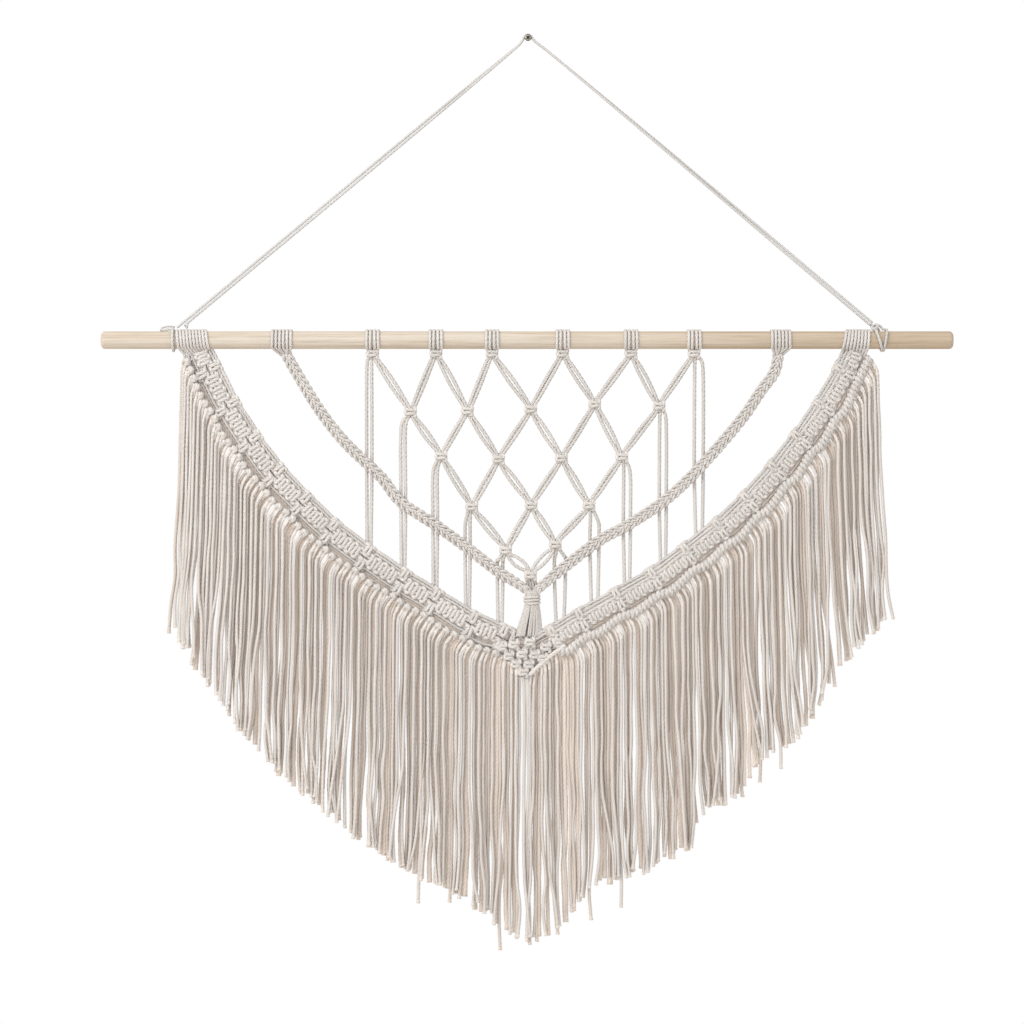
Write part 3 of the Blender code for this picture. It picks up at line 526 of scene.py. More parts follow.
grain = wood_noise((5.0, 380.0, 380.0), Detail=6.0, Roughness=0.62, Distortion=0.5)
pores = wood_noise((30.0, 1400.0, 1400.0), Detail=2.0)
growth = wood_noise((6.0, 100.0, 100.0), Detail=2.0)
figure = calculate(
    wood, "ADD", calculate(wood, "MULTIPLY", grain, 0.7), calculate(wood, "MULTIPLY", growth, 0.3))
along_rod = add_node(wood, "ShaderNodeSeparateXYZ", {"Vector": on_rod}).outputs["X"]
browning = rescale(wood, along_rod, *BROWNING_RUN, 0.0, 1.0)
browned = add_node(wood, "ShaderNodeMix", {
    "Factor": 1.0,
    6: colour_ramp(wood, figure, (0.37, WOOD_DARK), (0.5, WOOD_MIDDLE), (0.63, WOOD_PALE)),
    7: colour_ramp(wood, browning, (0.0, WHITE), (1.0, RIGHT_END_BROWN)),
}, data_type="RGBA", blend_type="MULTIPLY")
speckled = add_node(wood, "ShaderNodeHueSaturation", {
    "Value": rescale(wood, pores, 0.33, 0.5, 0.86, 1.0), "Color": browned.outputs[2]})
wood_relief = add_node(wood, "ShaderNodeBump", {"Strength": 0.25, "Distance": 0.0003, "Height": pores})
feed(wood, wood_shader, {
    "Base Color": speckled.outputs["Color"],
    "Normal": wood_relief.outputs["Normal"],
    "Roughness": rescale(wood, grain, 0.3, 0.7, 0.62, 0.5),
    "Specular IOR Level": 0.35,
})
dowel_mesh.materials.append(birch)
dowel = add_object("dowel_rod", dowel_mesh)
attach(dowel, "root")
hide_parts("dowel")


# The nail: dull steel, driven into the wall until its head stands 12 mm in front of it, with both hanging
# strands over its shank. The head is a low dome, stamped with a cross. Painted shade darkens the cross and
# the shank behind the head, over a light mottle of dirt.
NAIL_SHANK_RADIUS = 0.0015
NAIL_SHANK_LENGTH = 0.0105
NAIL_HEAD_RADIUS = 0.00375
NAIL_HEAD_DEPTH = 0.0014
NAIL_FACE = NAIL_SHANK_LENGTH + NAIL_HEAD_DEPTH
NAIL_RIM = 0.0004
DOME_RISE = 0.0010
DOME_CURVE = 2.4
DOME_RINGS = 30
CROSS_HALF_WIDTH = 0.0005
CROSS_REACH = 0.0021
CROSS_DEPTH = 0.0011
CROSS_BACK = NAIL_SHANK_LENGTH + 0.0007
NAIL_SIDES = 72
STEEL_GREY = (0.42, 0.41, 0.37)
RECESS_SHADE_AND_DIRT = (0.02, 0.02, 0.018)
# y in front of which the nail is clean steel, and from which back, in the cross and on the shank, it is all
# painted shade
UNSHADED_Y = -0.0114
FULL_SHADE_Y = -0.0109


def nail_point(along, radius, angle):
    """A point round the nail, whose axis stands out of the wall. The cross is pressed into the head, with
    sloping sides."""
    x, z = radius * cos(angle), radius * sin(angle)
    across, upward = (x + z) / sqrt(2), (x - z) / sqrt(2)
    arm = min(abs(across), abs(upward))
    inside = min(1.0, max(0.0, (CROSS_HALF_WIDTH * 1.5 - arm) / CROSS_HALF_WIDTH))
    inside *= min(1.0, max(0.0, (CROSS_REACH * 1.15 - radius) / (CROSS_REACH * 0.3)))
    sunk = CROSS_DEPTH * inside if along > CROSS_BACK else 0.0
    return (x, -along + sunk, z)


nail_profile = [(0.0, NAIL_SHANK_RADIUS), (NAIL_SHANK_LENGTH, NAIL_SHANK_RADIUS),
                (NAIL_SHANK_LENGTH, NAIL_HEAD_RADIUS), (NAIL_SHANK_LENGTH + NAIL_RIM, NAIL_HEAD_RADIUS)]
for share in np.linspace(1.0, 0.02, DOME_RINGS):
    nail_profile.append((NAIL_FACE - DOME_RISE * share ** DOME_CURVE, NAIL_HEAD_RADIUS * share))
nail_mesh = turned("nail", nail_profile, nail_point, NAIL_SIDES)

steel, metal, metal_shader = new_material("nail_steel")
on_nail = add_node(metal, "ShaderNodeTexCoord").outputs["Object"]
dulling = add_node(metal, "ShaderNodeTexNoise", {
    "Vector": on_nail, "Scale": 900.0, "Detail": 4.0}).outputs["Fac"]
nail_y = add_node(metal, "ShaderNodeSeparateXYZ", {"Vector": on_nail}).outputs["Y"]
# Painted shade, darker with depth into the cross and behind the head, plus a light mottle of dirt
shade_and_grime = calculate(metal, "ADD", rescale(metal, nail_y, UNSHADED_Y, FULL_SHADE_Y, 0.0, 1.0), calculate(
    metal, "MULTIPLY", dulling, 0.3))
feed(metal, metal_shader, {
    "Base Color": colour_ramp(metal, shade_and_grime, (0.0, STEEL_GREY), (1.0, RECESS_SHADE_AND_DIRT)),
    "Roughness": rescale(metal, dulling, 0.3, 0.7, 0.35, 0.6),
    "Metallic": 1.0,
})
nail_mesh.materials.append(steel)
nail = add_object("nail", nail_mesh)
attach(nail, "root")
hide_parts("wall_nail")


# The band: eight cotton cords knotted into a wide V. In each panel the middle four make a flat braid of
# square knots between two straight pairs, and two square knots tie all eight together between the panels.
BAND_LEFT = (
    (-0.3511, -0.3362), (-0.3418, -0.3570), (-0.3216, -0.3961), (-0.2982, -0.4334), (-0.2717, -0.4689),
    (-0.2427, -0.4994), (-0.2120, -0.5287), (-0.1753, -0.5566), (-0.1358, -0.5831), (-0.1016, -0.6041),
    (-0.0610, -0.6287), (-0.0282, -0.6432), (0.0021, -0.6579),
)
BAND_RIGHT = (
    (0.3515, -0.3362), (0.3412, -0.3588), (0.3190, -0.3975), (0.2944, -0.4323), (0.2683, -0.4657),
    (0.2388, -0.4990), (0.2075, -0.5285), (0.1733, -0.5553), (0.1372, -0.5816), (0.0986, -0.6041),
    (0.0592, -0.6261), (0.0290, -0.6439), (0.0021, -0.6579),
)
BAND_SECTIONS = 24
BAND_CORD = 0.00225
# The square knots between two panels: the middle of each across the band, and where it begins along it
TIES_AT = {-1: ((0.0072, -0.0044), (-0.0098, -0.0026)), 1: ((0.0082, -0.0040), (-0.0048, -0.0030))}
TIE_KNOT = {"count": 2, "width": 0.0048, "depth": 0.0036, "step": 0.0042, "radius": BAND_CORD}
TIE_CORE = 0.0018
TIE_CORE_RUN = (-0.003, 0.0115)
# The cords behind a tie place: across, and their points behind the middle and along from that place
TIE_REAR_CORDS = (-0.0036, 0.0002)
TIE_REAR_ROUTE = ((0.0026, -0.0075), (0.0010, 0.0), (0.0026, 0.0075))
# The middle and half width of the flat braid
HALF_KNOTS = {-1: (-0.0012, 0.0058), 1: (-0.0022, 0.0046)}
HALF_KNOT_DEPTH = 0.0031
HALF_KNOT_STEP = 0.0043
# How far the flat braid keeps from a tie place, and from the dowel in the first panel
PANEL_CLEAR = 0.0062
FIRST_CLEAR = 0.0010
# The two core cords inside the flat braid, which draw apart under the ties
CORE_ACROSS = 0.0020
CORE_SPREAD = 1.8
CORE_FRONT = 0.0016
CORE_RUN_IN = 0.006
UNDER_TIE = 0.002
# One half knot, as the cord that crosses in front and the one that crosses behind: across in half widths
# and by this much more, forward in depths and down in steps
KNOT_FRONT = (
    (1.0, 0.0003, 0.0, -0.32), (0.72, 0.0, 0.85, -0.10), (0.0, 0.0, 1.0, -0.01), (-0.72, 0.0, 0.85, 0.09),
    (-1.0, -0.0001, 0.0, 0.32),
)
KNOT_BEHIND = (
    (-1.0, -0.0006, 0.85, -0.06), (-0.4, 0.0, -1.0, 0.10), (0.4, 0.0, -1.0, 0.15), (1.0, 0.0006, 0.6, 0.34),
)
# Both cords come in and go out this many half widths from the middle
KNOT_MOUTH = 0.9
KNOT_LAY_STEP = 0.0012
# A lark's head: its distance from the dowel's axis, its cord, how flat it is pressed, the angles of a wrap
# from the back of the dowel to below it, and the fold between two wraps
WRAP_REACH = 0.0107
WRAP_RADIUS = 0.00182
WRAP_PRESS = 0.36
WRAP_ANGLES = (-85.0, -45.0, 0.0, 40.0, 80.0, 115.0, 145.0)
WRAP_STEP = 0.0016
FOLD_ANGLE = -112.0
FOLD_OUT = 0.001
# The band's wraps on the dowel: x of the first and last at the top, the same below, and their number
BAND_WRAPS = {
    -1: ((-0.3768, -0.3462), (-0.3742, -0.3424), 10),
    1: ((0.3423, 0.3658), (0.3376, 0.3638), 8),
}
# Where the wraps run into the band: across it, and the points in front and along
WRAP_ENDS = (0.0111, 0.0080, 0.0046, 0.0015, -0.0015, -0.0046, -0.0080, -0.0111)
WRAP_END_ROUTE = ((-0.0002, 0.0024), (-0.0014, 0.0075))
# The left half has one lark's head more, at its outer side
EXTRA_ENDS = {
    -1: [[(-0.3690, -0.0150, -0.3400), (-0.3682, -0.0140, -0.3440)],
         [(-0.3655, -0.0150, -0.3390), (-0.3624, -0.0132, -0.3490)]],
    1: [],
}
# The cords beside the flat braid: place across at a tie and half way between two, radius, place in front
SIDE_CORDS = {
    -1: ((0.0108, 0.0121, 0.0020, 0.0008), (0.0076, 0.0087, 0.0020, 0.0002),
         (-0.0114, -0.0112, 0.0017, 0.0006), (-0.0090, -0.0092, 0.0018, -0.0010),
         (0.0060, 0.0062, 0.0020, -0.0034)),
    1: ((0.0116, 0.0124, 0.0020, 0.0006), (0.0080, 0.0088, 0.0020, 0.0012),
        (0.0046, 0.0050, 0.0023, 0.0030)),
}
# How far these wave to and fro, and how far back the ties pull them
SIDE_WAVE = 0.0004
SIDE_TIED_BACK = 0.0010
# The cords that lie deeper, behind the gap between the band and the cord that carries the fringe. They are
# drawn in the cotton with painted shade, so that the gap looks shaded: place across and depth
REAR_CORDS = {
    -1: ((-0.0112, 0.0034), (-0.0140, 0.0030), (-0.0170, 0.0030), (-0.0200, 0.0030)),
    1: ((-0.0086, 0.0008), (-0.0116, 0.0018), (-0.0144, 0.0028), (-0.0172, 0.0030), (-0.0200, 0.0030)),
}
REAR_START = 0.006
REAR_PAST = 0.004
REAR_POINTS = 40
# How far the front cord at the lower edge hangs slack in one panel of the left half
SLACK = {(-1, 10): 0.0042}

macrame_cotton = cotton(
    "cotton_cord", crest=(0.82, 0.80, 0.78), flank=(0.79, 0.755, 0.72), valley_shade=(0.64, 0.56, 0.49), fibre=0.4)
# A copy of the cotton with painted shade: darker and warmer, for the cords that lie behind the others
painted_shade_cotton = cotton(
    "rear_cord", crest=(0.86, 0.785, 0.72), flank=(0.85, 0.755, 0.68), valley_shade=(0.81, 0.70, 0.61), fibre=0.4)


class Ribbon:
    """A line of (x, z) points that knots are laid along. side is -1 where it comes down from the left."""

    def __init__(self, nodes, side, sections=BAND_SECTIONS):
        line = smooth(nodes, sections)
        self.line = line
        step = np.gradient(line, axis=0)
        step /= np.linalg.norm(step, axis=1)[:, None]
        self.inner = np.stack([side * step[:, 1], -side * step[:, 0]], axis=1)
        self.lengths = lengths_along(line)
        self.nodes = self.lengths[::sections]
        self.side = side

    def __call__(self, across, front, down):
        """The point this far across towards the inner edge, in front of the middle and down the line."""
        middle = [np.interp(down, self.lengths, self.line[:, k]) for k in (0, 1)]
        inner = [np.interp(down, self.lengths, self.inner[:, k]) for k in (0, 1)]
        beyond = down - min(max(down, 0.0), self.lengths[-1])
        return (middle[0] + inner[0] * across - self.side * inner[1] * beyond, CLOTH_Y - front,
                middle[1] + inner[1] * across + self.side * inner[0] * beyond)


def half_knots(cords, spot, start, count, width, depth, step, radius, middle=0.0, lay_step=KNOT_LAY_STEP):
    """Half knots one below another, which make a square knot when there are two: one cord crosses in front
    each time, the other behind, and each loops over the end of the other at the sides."""
    end_side = 1 if count % 2 else -1
    for turns, side in ((KNOT_FRONT, -1), (KNOT_BEHIND, 1)):
        route = [spot(middle + side * KNOT_MOUTH * width, 0.0, start - 0.5 * step)]
        for j in range(count):
            over = 1 if j % 2 else -1
            place = start + step * (j + 0.5)
            for share, more, forward, down in turns:
                across = middle + over * (share * width + more)
                route.append(spot(across, forward * depth, place + down * step))
        route.append(spot(middle - side * end_side * KNOT_MOUTH * width, 0.0, start + step * (count + 0.5)))
        cords.lay(route, radius, lay_step)


def wrap(top_x, foot_x, after):
    """Half of a lark's head: from the back of the dowel over its top and down its front, then on below."""
    turns = []
    for angle in np.radians(WRAP_ANGLES):
        share = min(1.0, max(0.0, angle / radians(WRAP_ANGLES[-1])))
        turns.append(round_dowel(top_x + (foot_x - top_x) * share, WRAP_REACH, angle, WRAP_PRESS))
    return turns + [(*place, 0.0, 0.0, 0.0) for place in after]


def larks_heads(cords, tops, feet, ends):
    """Cords folded in half over the dowel, the fold across the back and the wraps over the front."""
    for k in range(0, len(tops), 2):
        first = wrap(tops[k], feet[k], ends[k])
        second = wrap(tops[k + 1], feet[k + 1], ends[k + 1])
        middle = (tops[k] + tops[k + 1]) / 2
        fold = [round_dowel(middle, WRAP_REACH + FOLD_OUT, radians(FOLD_ANGLE), WRAP_PRESS)]
        cords.lay(first[::-1] + fold + second, WRAP_RADIUS, WRAP_STEP)


def band_panel(cords, spot, start, end, first, slack):
    """One panel: the flat braid over its core cords, and the cords beside it."""
    run = end - start
    clear_start = FIRST_CLEAR if first else PANEL_CLEAR
    braided = run - clear_start - PANEL_CLEAR
    count = round(braided / HALF_KNOT_STEP)
    middle, width = HALF_KNOTS[spot.side]
    half_knots(cords, spot, start + clear_start, count, width, HALF_KNOT_DEPTH, braided / count, BAND_CORD,
               middle)
    for across in (-CORE_ACROSS, CORE_ACROSS):
        core, tied = middle + across, middle + across * CORE_SPREAD
        cords.lay([spot(tied, 0.0, start - UNDER_TIE), spot(core, CORE_FRONT, start + CORE_RUN_IN),
                   spot(core, CORE_FRONT, end - CORE_RUN_IN), spot(tied, 0.0, end + UNDER_TIE)], BAND_CORD)
    for tied, free, radius, front in SIDE_CORDS[spot.side]:
        wave = cords.chance.uniform(-SIDE_WAVE, SIDE_WAVE)
        bow = free - tied - (slack if front > 0.0 > tied else 0.0)
        route = [spot(tied, front - SIDE_TIED_BACK, start - UNDER_TIE)]
        for share, bowed, waved in ((0.25, 0.75, wave), (0.5, 1.0, 0.0), (0.75, 0.75, -wave)):
            route.append(spot(tied + bow * bowed + waved, front, start + run * share))
        route.append(spot(tied, front - SIDE_TIED_BACK, end + UNDER_TIE))
        cords.lay(route, radius)


ribbons = {-1: Ribbon(BAND_LEFT, -1), 1: Ribbon(BAND_RIGHT, 1)}
rear = Cordage(seed=18)
for side, name in ((-1, "band_left_half"), (1, "band_right_half")):
    spot = ribbons[side]
    band = Cordage(seed=20 + side)
    for k in range(len(spot.nodes) - 2):
        band_panel(band, spot, spot.nodes[k], spot.nodes[k + 1], k == 0, SLACK.get((side, k), 0.0))
    for place in spot.nodes[1:-1]:
        for at, begins in TIES_AT[side]:
            top = place + begins
            half_knots(band, spot, top, **TIE_KNOT, middle=at)
            for across in (at - TIE_CORE, at + TIE_CORE):
                band.lay([spot(across, 0.0, top + down) for down in TIE_CORE_RUN], BAND_CORD)
        for across in TIE_REAR_CORDS:
            rear.lay([spot(across, -behind, place + down) for behind, down in TIE_REAR_ROUTE], BAND_CORD)
    downs = np.linspace(REAR_START, spot.nodes[-2] + REAR_PAST, REAR_POINTS)
    for across, behind in REAR_CORDS[side]:
        rear.lay([spot(across, -behind, down) for down in downs], BAND_CORD)
    (top_from, top_to), (foot_from, foot_to), count = BAND_WRAPS[side]
    tops = np.linspace(top_from, top_to, count)
    feet = np.linspace(foot_from, foot_to, count)
    ends = [[spot(across, *place) for place in WRAP_END_ROUTE] for across in WRAP_ENDS[::side]]
    larks_heads(band, tops, feet, EXTRA_ENDS[side] + ends)
    band.piece(name, macrame_cotton, "cotton_cord", "band")


# The centre: where the two halves of the band meet, their cotton cords cross in a small lattice of square
# knots, with two little holes under the gathering knot, and run out to a point.
CENTRE_KNOTS = (
    (0.0021, -0.6493), (-0.0150, -0.6520), (0.0193, -0.6547), (-0.0279, -0.6547), (0.0322, -0.6482),
    (-0.0064, -0.6622), (0.0075, -0.6632), (-0.0204, -0.6643), (-0.0129, -0.6729), (0.0011, -0.6734),
    (0.0161, -0.6665), (-0.0054, -0.6815),
)
CENTRE_FRONT = 0.0010
CENTRE_KNOT = {"start": -0.0037, "count": 2, "width": 0.0036, "depth": 0.0031, "step": 0.0039,
               "radius": 0.0023}
CENTRE_CORD = 0.0020
CENTRE_LINKS = (
    # from knot to knot, and the side on which the pair of cords leaves the one and reaches the other
    (0, 5, -1, 1), (0, 6, 1, -1), (1, 5, 1, -1), (1, 7, -1, 1), (2, 6, -1, 1), (2, 10, -1, 1), (3, 7, 1, -1),
    (4, 2, -1, 1), (5, 8, -1, 1), (5, 9, 1, -1), (6, 9, -1, 1), (6, 10, 1, -1), (7, 8, 1, -1), (8, 11, 1, -1),
    (9, 11, -1, 1),
)
LINK_SPREAD = 0.0017
# How a pair leaves a knot: to the side, its share of the spread, forward and down
LINK_ROUTE = ((0.0022, 0.7, 0.0, 0.0), (0.0024, 1.0, 0.0006, 0.0044))
# The pair at the band's inner edge: across, and from the middle of the knot that it ends in. That knot, and
# how far the pair keeps to the band's line beyond its last tie
INNER_PAIR = ((0.0108, 0.0016), (0.0076, -0.0016))
INNER_END = {-1: (1, 0.010), 1: (0, 0.020)}
# The cords that run through behind, from the left half to the right: across, and the points behind the
# middle and along from the last tie
CENTRE_RUNS = (0.0121, 0.0084, 0.0044, 0.0004, -0.0036, -0.0076, -0.0116, -0.0156, -0.0196)
CENTRE_RUN_ROUTE = ((0.0030, -0.004), (0.0026, 0.009))
CENTRE_RUN_DEPTH = 0.0026
CENTRE_RUN_CORD = 0.0022
CENTRE_SLOPE = 1.11
# One thicker cord over the lower right edge, in front of the knots
EDGE_CORD = ((0.0400, -0.6520), (0.0343, -0.6566), (0.0262, -0.6623), (0.0182, -0.6690), (0.0105, -0.6757),
             (0.0043, -0.6818), (0.0018, -0.6850))
EDGE_CORD_FRONT = 0.0034
EDGE_CORD_RADIUS = 0.0025
EDGE_CORD_TWIST = 0.012


def knot_place(x, z, forward=0.0):
    """Where a place across, in front of and down from the middle of this knot falls."""
    return lambda across, front, down: (x + across, CLOTH_Y - forward - front, z - down)


centre = Cordage(seed=25)
for x, z in CENTRE_KNOTS:
    half_knots(centre, knot_place(x, z, CENTRE_FRONT), **CENTRE_KNOT)
for a, b, out, into in CENTRE_LINKS:
    (ax, az), (bx, bz) = CENTRE_KNOTS[a], CENTRE_KNOTS[b]
    for spread in (-LINK_SPREAD, LINK_SPREAD):
        leaving = [(ax + out * aside + spread * share, CLOTH_Y - front, az - down)
                   for aside, share, front, down in LINK_ROUTE]
        reaching = [(bx + into * aside + spread * share, CLOTH_Y - front, bz + down)
                    for aside, share, front, down in LINK_ROUTE]
        centre.lay(leaving + reaching[::-1], CENTRE_CORD)
for side in (-1, 1):
    spot = ribbons[side]
    last = spot.nodes[-2]
    knot, run_on = INNER_END[side]
    knot_x, knot_z = CENTRE_KNOTS[knot]
    for across, aside in INNER_PAIR:
        centre.lay([spot(across, 0.0004, last - 0.002), spot(across + 0.0008, 0.0012, last + 0.007),
                    spot(across + 0.0004, 0.0012, last + run_on),
                    (knot_x + side * (0.0022 + aside), CLOTH_Y - 0.0004, knot_z + 0.0052),
                    (knot_x + side * 0.0016, CLOTH_Y, knot_z)], CENTRE_CORD)
for across in CENTRE_RUNS:
    from_left, from_right = (
        [ribbons[side](across, -behind, ribbons[side].nodes[-2] + past) for behind, past in CENTRE_RUN_ROUTE]
        for side in (-1, 1))
    middle = (BAND_LEFT[-1][0], CLOTH_Y + CENTRE_RUN_DEPTH, BAND_LEFT[-1][1] + across * CENTRE_SLOPE)
    rear.lay([*from_left, middle, *from_right[::-1]], CENTRE_RUN_CORD)
centre.lay([(x, CLOTH_Y - EDGE_CORD_FRONT, z) for x, z in EDGE_CORD], EDGE_CORD_RADIUS, twist=EDGE_CORD_TWIST)
centre.piece("centre_knots", macrame_cotton, "cotton_cord", "band")
# The cords behind the ties, the gaps and the centre, drawn in the cotton with painted shade
rear.piece("band_rear_cords", painted_shade_cotton, "cotton_cord", "band")


# The net: square knots in alternating rows between the braids, hung from the dowel by six pairs of lark's
# heads. A pair of cords runs from knot to knot, and the outer pair of each row drops behind the braid.
NET_ROWS = (
    ((-0.1667, -0.3395), (-0.0988, -0.3395), (-0.0385, -0.3395), (0.0372, -0.3395), (0.1105, -0.3395),
     (0.1782, -0.3395)),
    ((-0.1260, -0.4022), (-0.0650, -0.4010), (0.0030, -0.3995), (0.0715, -0.3941), (0.1406, -0.3961)),
    ((-0.0931, -0.4497), (-0.0316, -0.4531), (0.0361, -0.4522), (0.1008, -0.4504)),
    ((-0.0602, -0.5041), (0.0035, -0.5026), (0.0655, -0.5026)),
    ((-0.0239, -0.5507), (0.0294, -0.5446)),
    ((0.0028, -0.5774),),
)
# Half the distance between the two cords of a pair half way down, for pairs that fall to the right and left
PAIR_HALVES = ((0.0027, 0.0019), (0.0027, 0.0019), (0.0028, 0.0020), (0.0028, 0.0021), (0.0042, 0.0036))
# The outer pair of each row and side: x where it hangs behind the braid, and how far apart its cords are
DROPS = {
    (0, -1): (-0.1706, 0.0052), (1, -1): (-0.1341, 0.0046), (2, -1): (-0.0998, 0.0046),
    (3, -1): (-0.0649, 0.0050), (4, -1): (-0.0300, 0.0054), (0, 1): (0.1835, 0.0090),
    (1, 1): (0.1449, 0.0070), (2, 1): (0.1063, 0.0070), (3, 1): (0.0714, 0.0090),
    (4, 1): (0.0343, 0.0110),
}
# The lines of the two braids, which the outer pairs pass behind on their way down to the band
BRAIDS = {
    -1: ((-0.2620, -0.3362), (-0.2475, -0.3618), (-0.2225, -0.4023), (-0.1954, -0.4361), (-0.1581, -0.4720),
         (-0.1363, -0.4990), (-0.0993, -0.5237), (-0.0665, -0.5473), (-0.0328, -0.5731), (-0.0090, -0.5880)),
    1: ((0.2690, -0.3362), (0.2648, -0.3587), (0.2494, -0.3805), (0.2275, -0.4121), (0.1820, -0.4644),
        (0.1463, -0.4977), (0.1069, -0.5237), (0.0773, -0.5397), (0.0411, -0.5670), (0.0170, -0.5870)),
}
BEHIND_BRAID_Y = -0.0082
# How far above and below the braid's line an outer pair is behind it, and where across the band it ends
BRAID_CLEAR = 0.012
BAND_INNER_EDGE = 0.0128
GATHER_X = 0.0042
GATHER_TOP_Z = -0.5955
NET_CORD = 0.00212
NET_KNOT = {"start": -0.0039, "count": 2, "width": 0.0044, "depth": 0.0031, "step": 0.0039,
            "radius": NET_CORD, "lay_step": 0.0011}
# The two core cords inside a knot, which are pressed thinner
CORE_CORD = NET_CORD * 0.9
NET_CORE = 0.0015
NET_CORE_RUN = 0.0062
# Where the four cords of a knot leave it, across and down from its middle. Inside they are closer together.
KNOT_ENDS = (-0.0043, -0.0015, 0.0015, 0.0043)
LEAVES_DOWN = 0.0048
KNOT_INSIDE = 0.8
INSIDE_DOWN = 0.0010
# Half the distance between the cords of a pair at a knot, how far they wander below it, and how far the
# right one lies in front of the left one
PAIR_AT_KNOT = 0.0014
PAIR_WANDER = 0.0002
PAIR_OVER = 0.0004
# The wraps over each knot of the first row, at the top of the dowel and below it, and their points in front
# of the knot and down from its middle
NET_WRAP_TOPS = (-0.0060, -0.0020, 0.0020, 0.0060)
NET_WRAP_FEET = (-0.0062, -0.0026, 0.0026, 0.0062)
NET_WRAP_ROUTE = ((0.0006, -0.0046), (0.0, -0.0015))
# The last four cords of the net side by side in the gathering knot
GATHERED_SPACING = 0.0031


def height_at(line, x):
    """z of a line of (x, z) points where it passes this x."""
    for a, b in zip(line, line[1:]):
        if min(a[0], b[0]) <= x <= max(a[0], b[0]):
            t = (x - a[0]) / (b[0] - a[0]) if b[0] != a[0] else 0.0
            return a[1] + (b[1] - a[1]) * t
    return min(line, key=lambda p: abs(p[0] - x))[1]


def leave_knot(x, z, end, down=1):
    """The points in a knot and just outside it, for the cord that leaves it at this one of its ends. down is
    -1 for a cord that leaves it upwards."""
    return [(x + KNOT_ENDS[end] * KNOT_INSIDE, CLOTH_Y, z - down * INSIDE_DOWN),
            (x + KNOT_ENDS[end], CLOTH_Y, z - down * LEAVES_DOWN)]


def lay_pair(cords, upper, lower, outs, ins, half):
    """Two cords between two knots, bowed apart half way. The first of each is the left one."""
    for order, (out, into) in enumerate(zip(outs, ins)):
        leaving = leave_knot(*upper, out)
        reaching = leave_knot(*lower, into, down=-1)[::-1]
        start, end = np.array(leaving[1])[[0, 2]], np.array(reaching[0])[[0, 2]]
        run = (end - start) / np.linalg.norm(end - start)
        away = np.array((run[1], -run[0])) * (1 if order == 0 else -1)
        bow = half - abs(run[1]) * PAIR_AT_KNOT
        bowed = []
        for t in (0.22, 0.5, 0.78):
            push = bow * sin(pi * t) ** 0.8 + cords.chance.uniform(-PAIR_WANDER, PAIR_WANDER)
            x, z = start + (end - start) * t + away * push
            bowed.append((x, CLOTH_Y - PAIR_OVER * order, z))
        cords.lay(leaving + bowed + reaching, NET_CORD)


net = Cordage(seed=30)
for row, places in enumerate(NET_ROWS):
    for x, z in places:
        spot = knot_place(x, z)
        half_knots(net, spot, **NET_KNOT)
        for across in (-NET_CORE, NET_CORE):
            net.lay([spot(across, 0.0, -NET_CORE_RUN), spot(across, 0.0, NET_CORE_RUN)], CORE_CORD)
        if row == 0:
            tops = [x + across for across in NET_WRAP_TOPS]
            feet = [x + across for across in NET_WRAP_FEET]
            ends = [[spot(across, *place) for place in NET_WRAP_ROUTE] for across in KNOT_ENDS]
            larks_heads(net, tops, feet, ends)
for upper_row, lower_row, halves in zip(NET_ROWS, NET_ROWS[1:], PAIR_HALVES):
    for k, lower in enumerate(lower_row):
        lay_pair(net, upper_row[k], lower, (2, 3), (0, 1), halves[0])
        lay_pair(net, upper_row[k + 1], lower, (0, 1), (2, 3), halves[1])
for (row, side), (foot_x, spread) in DROPS.items():
    x, z = NET_ROWS[row][0 if side < 0 else -1]
    crossing = height_at(smooth((*BRAIDS[side], (GATHER_X, GATHER_TOP_Z)), 4), foot_x)
    foot_z = height_at(ribbons[side].line + ribbons[side].inner * BAND_INNER_EDGE, foot_x)
    turn_z = z - min(0.014, 0.6 * (z - crossing - BRAID_CLEAR)) - 0.0045
    for apart, end in zip((-spread / 2, spread / 2), (0, 1) if side < 0 else (2, 3)):
        net.lay(leave_knot(x, z, end) + [
            (foot_x + apart, (CLOTH_Y + BEHIND_BRAID_Y) / 2, turn_z),
            (foot_x + apart * 1.08, BEHIND_BRAID_Y, crossing + BRAID_CLEAR),
            (foot_x + apart * 1.05, BEHIND_BRAID_Y, crossing - BRAID_CLEAR),
            (foot_x + apart * 0.8, CLOTH_Y + 0.0012, foot_z + 0.003),
            (foot_x + apart * 0.7, CLOTH_Y + 0.0030, foot_z - 0.004),
        ], NET_CORD)
low_x, low_z = NET_ROWS[-1][0]
for end in range(4):
    x = GATHER_X + (end - 1.5) * GATHERED_SPACING
    net.lay(leave_knot(low_x, low_z, end) + [
        (x, -0.0105, low_z - 0.0110), (x, -0.0100, GATHER_TOP_Z - 0.0020)], CORE_CORD)
net.piece("net_knots", macrame_cotton, "cotton_cord", "net")


# The two braids: six cords each, which come from three lark's heads on the dowel and are plaited two by two
# down to the gathering knot. They hang in front of the net's outer pairs.
BRAID_SWING = 0.0031
BRAID_LIFT = 0.0017
BRAID_PERIOD = 0.022
BRAID_CORD = 0.00180
# Half the distance between the two cords of a pair, in radii, and how it counts along the slope
BRAID_BESIDE = 0.93
BRAID_SLOPED = 0.6
BRAID_START = 0.004
BRAID_ROUTE_STEP = 0.0021
BRAID_STEP = 0.0019
BRAID_SECTIONS = 8
# Over this last stretch a braid grows narrower and comes forward into the gathering knot
BRAID_END_RUN = 0.03
BRAID_END_NARROWER = 0.30
BRAID_END_FRONT = 0.0012
BRAID_END_SHIFT = 0.0038
BRAID_WRAPS = {-1: (-0.2738, -0.2542), 1: (0.2616, 0.2804)}

